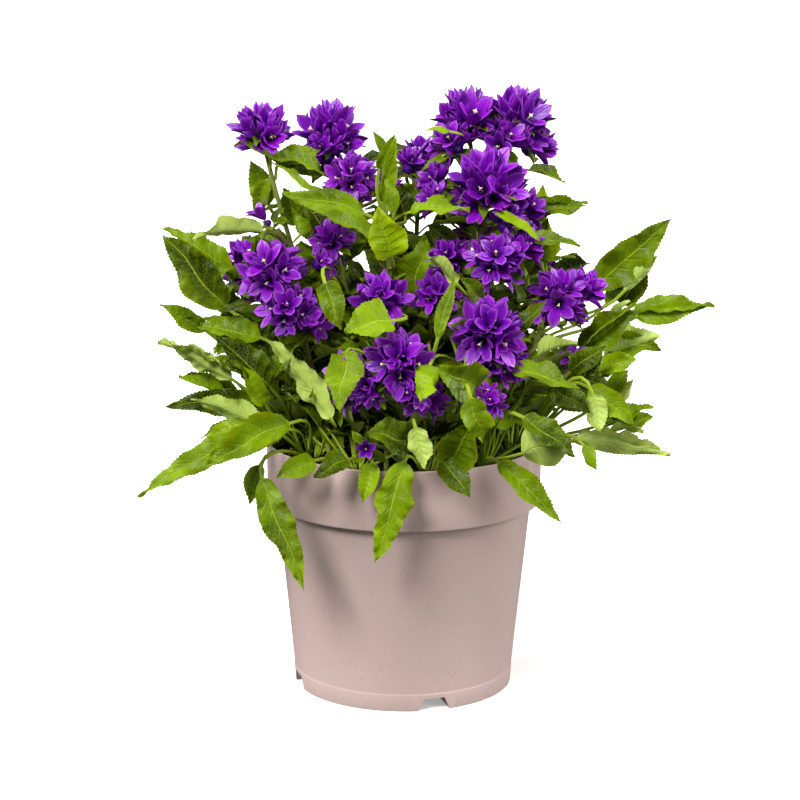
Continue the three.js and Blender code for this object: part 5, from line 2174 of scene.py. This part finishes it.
@dataclass
class Soil:
    """Potting mix that fills the pot to just under its rim."""

    rings: int = 44
    sides: int = 120
    crumb: float = 1.4
    floor: float = 14.0

    def build(self) -> None:
        collar = POT_HEIGHT - COLLAR_HEIGHT
        edge = RIM_RADIUS - WALL - GAP
        top = [((edge - 0.3) * i / self.rings, SOIL_TOP - 1.5) for i in range(self.rings + 1)]
        wall = [
            (edge - 0.2, SOIL_TOP - 4), (edge - 0.6, collar + 3),
            (SHOULDER_RADIUS - WALL - GAP, collar), (FOOT_RADIUS - WALL - GAP, self.floor),
            (0.0, self.floor),
        ]
        bm = bmesh.new()
        spin_profile(bm, top + wall, self.sides)
        draw = Draw(5)
        for vert in bm.verts:
            if vert.co.z > SOIL_TOP - 2:
                vert.co.z += draw.around(-0.4, self.crumb)
                vert.co.x += draw.around(0, 0.5) if abs(vert.co.x) < 80 else 0
        declare(finish_mesh(bm, "potting_mix", (SOIL.material(),)), "soil", ["soil"])


@dataclass
class Studio:
    """The floor, the lights and the camera."""

    # The camera, fitted to the ellipses of the photograph's pot: places in millimetres, the roll in
    # radians, and the lens and its film's width in millimetres
    eye: Point = (-2.99, -1688.3, 577.4)
    aim: Point = (-2.99, 0.0, 199.67)
    roll: float = 0.0049
    lens: float = 112.9
    film: float = 36.0
    floor_reach: float = 20000.0
    sky: float = 0.15
    # Each lamp: name, azimuth from the front towards the right, height, strength and softness
    lamps: tuple = (
        ("key", -32.0, 42.0, 4.2, 22.0),
        ("fill", 44.0, 18.0, 1.2, 30.0),
        ("rim_left", -100.0, 26.0, 2.1, 24.0),
        ("rim_right", 94.0, 24.0, 2.8, 24.0),
        ("top", 180.0, 76.0, 1.4, 20.0),
    )

    def build(self) -> None:
        """Sets up the whole studio."""
        self.lay_floor()
        self.light()
        self.set_camera()

    def lay_floor(self) -> None:
        """Lays the sweep under the pot, out of the light that bounces between the pieces."""
        bm = bmesh.new()
        bmesh.ops.create_grid(bm, x_segments=1, y_segments=1, size=self.floor_reach)
        floor = finish_mesh(bm, "floor", (SWEEP.material(),))
        floor.visible_diffuse = floor.visible_glossy = False

    def light(self) -> None:
        """Sets the sky, the lamps and the film's response."""
        world = bpy.data.worlds.new("studio")
        world.use_nodes = True
        background = world.node_tree.nodes["Background"]
        background.inputs[0].default_value = (1.0, 1.0, 1.0, 1.0)
        background.inputs[1].default_value = self.sky
        bpy.context.scene.world = world
        for name, azimuth, height, strength, softness in self.lamps:
            lamp = bpy.data.lights.new(name, "SUN")
            lamp.energy, lamp.angle = strength, math.radians(softness)
            holder = bpy.data.objects.new(name, lamp)
            tilt = Matrix.Rotation(math.radians(90.0 - height), 4, "X")
            holder.matrix_world = Matrix.Rotation(math.radians(azimuth), 4, "Z") @ tilt
            bpy.context.scene.collection.objects.link(holder)
        bpy.context.scene.view_settings.view_transform = "Standard"

    def set_camera(self) -> None:
        """Points the camera as the photograph's was."""
        camera = bpy.data.cameras.new("camera")
        camera.lens, camera.sensor_width = self.lens, self.film
        camera.clip_end = 50.0
        holder = bpy.data.objects.new("camera", camera)
        look = Vector(self.aim) - Vector(self.eye)
        turn = look.to_track_quat("-Z", "Y") @ Quaternion((0.0, 0.0, 1.0), self.roll)
        spot = Matrix.Translation(Vector(self.eye) * METRES)
        holder.matrix_world = spot @ turn.to_matrix().to_4x4()
        bpy.context.scene.collection.objects.link(holder)
        bpy.context.scene.camera = holder


def main() -> None:
    """Builds the studio, the pot, the soil and the plant in order."""
    logging.basicConfig(level=logging.INFO, format="%(name)s: %(message)s")
    Studio().build()
    Pot().build()
    Soil().build()
    Plant().grow()
    bpy.context.view_layer.update()


if __name__ == "__main__":
    main()
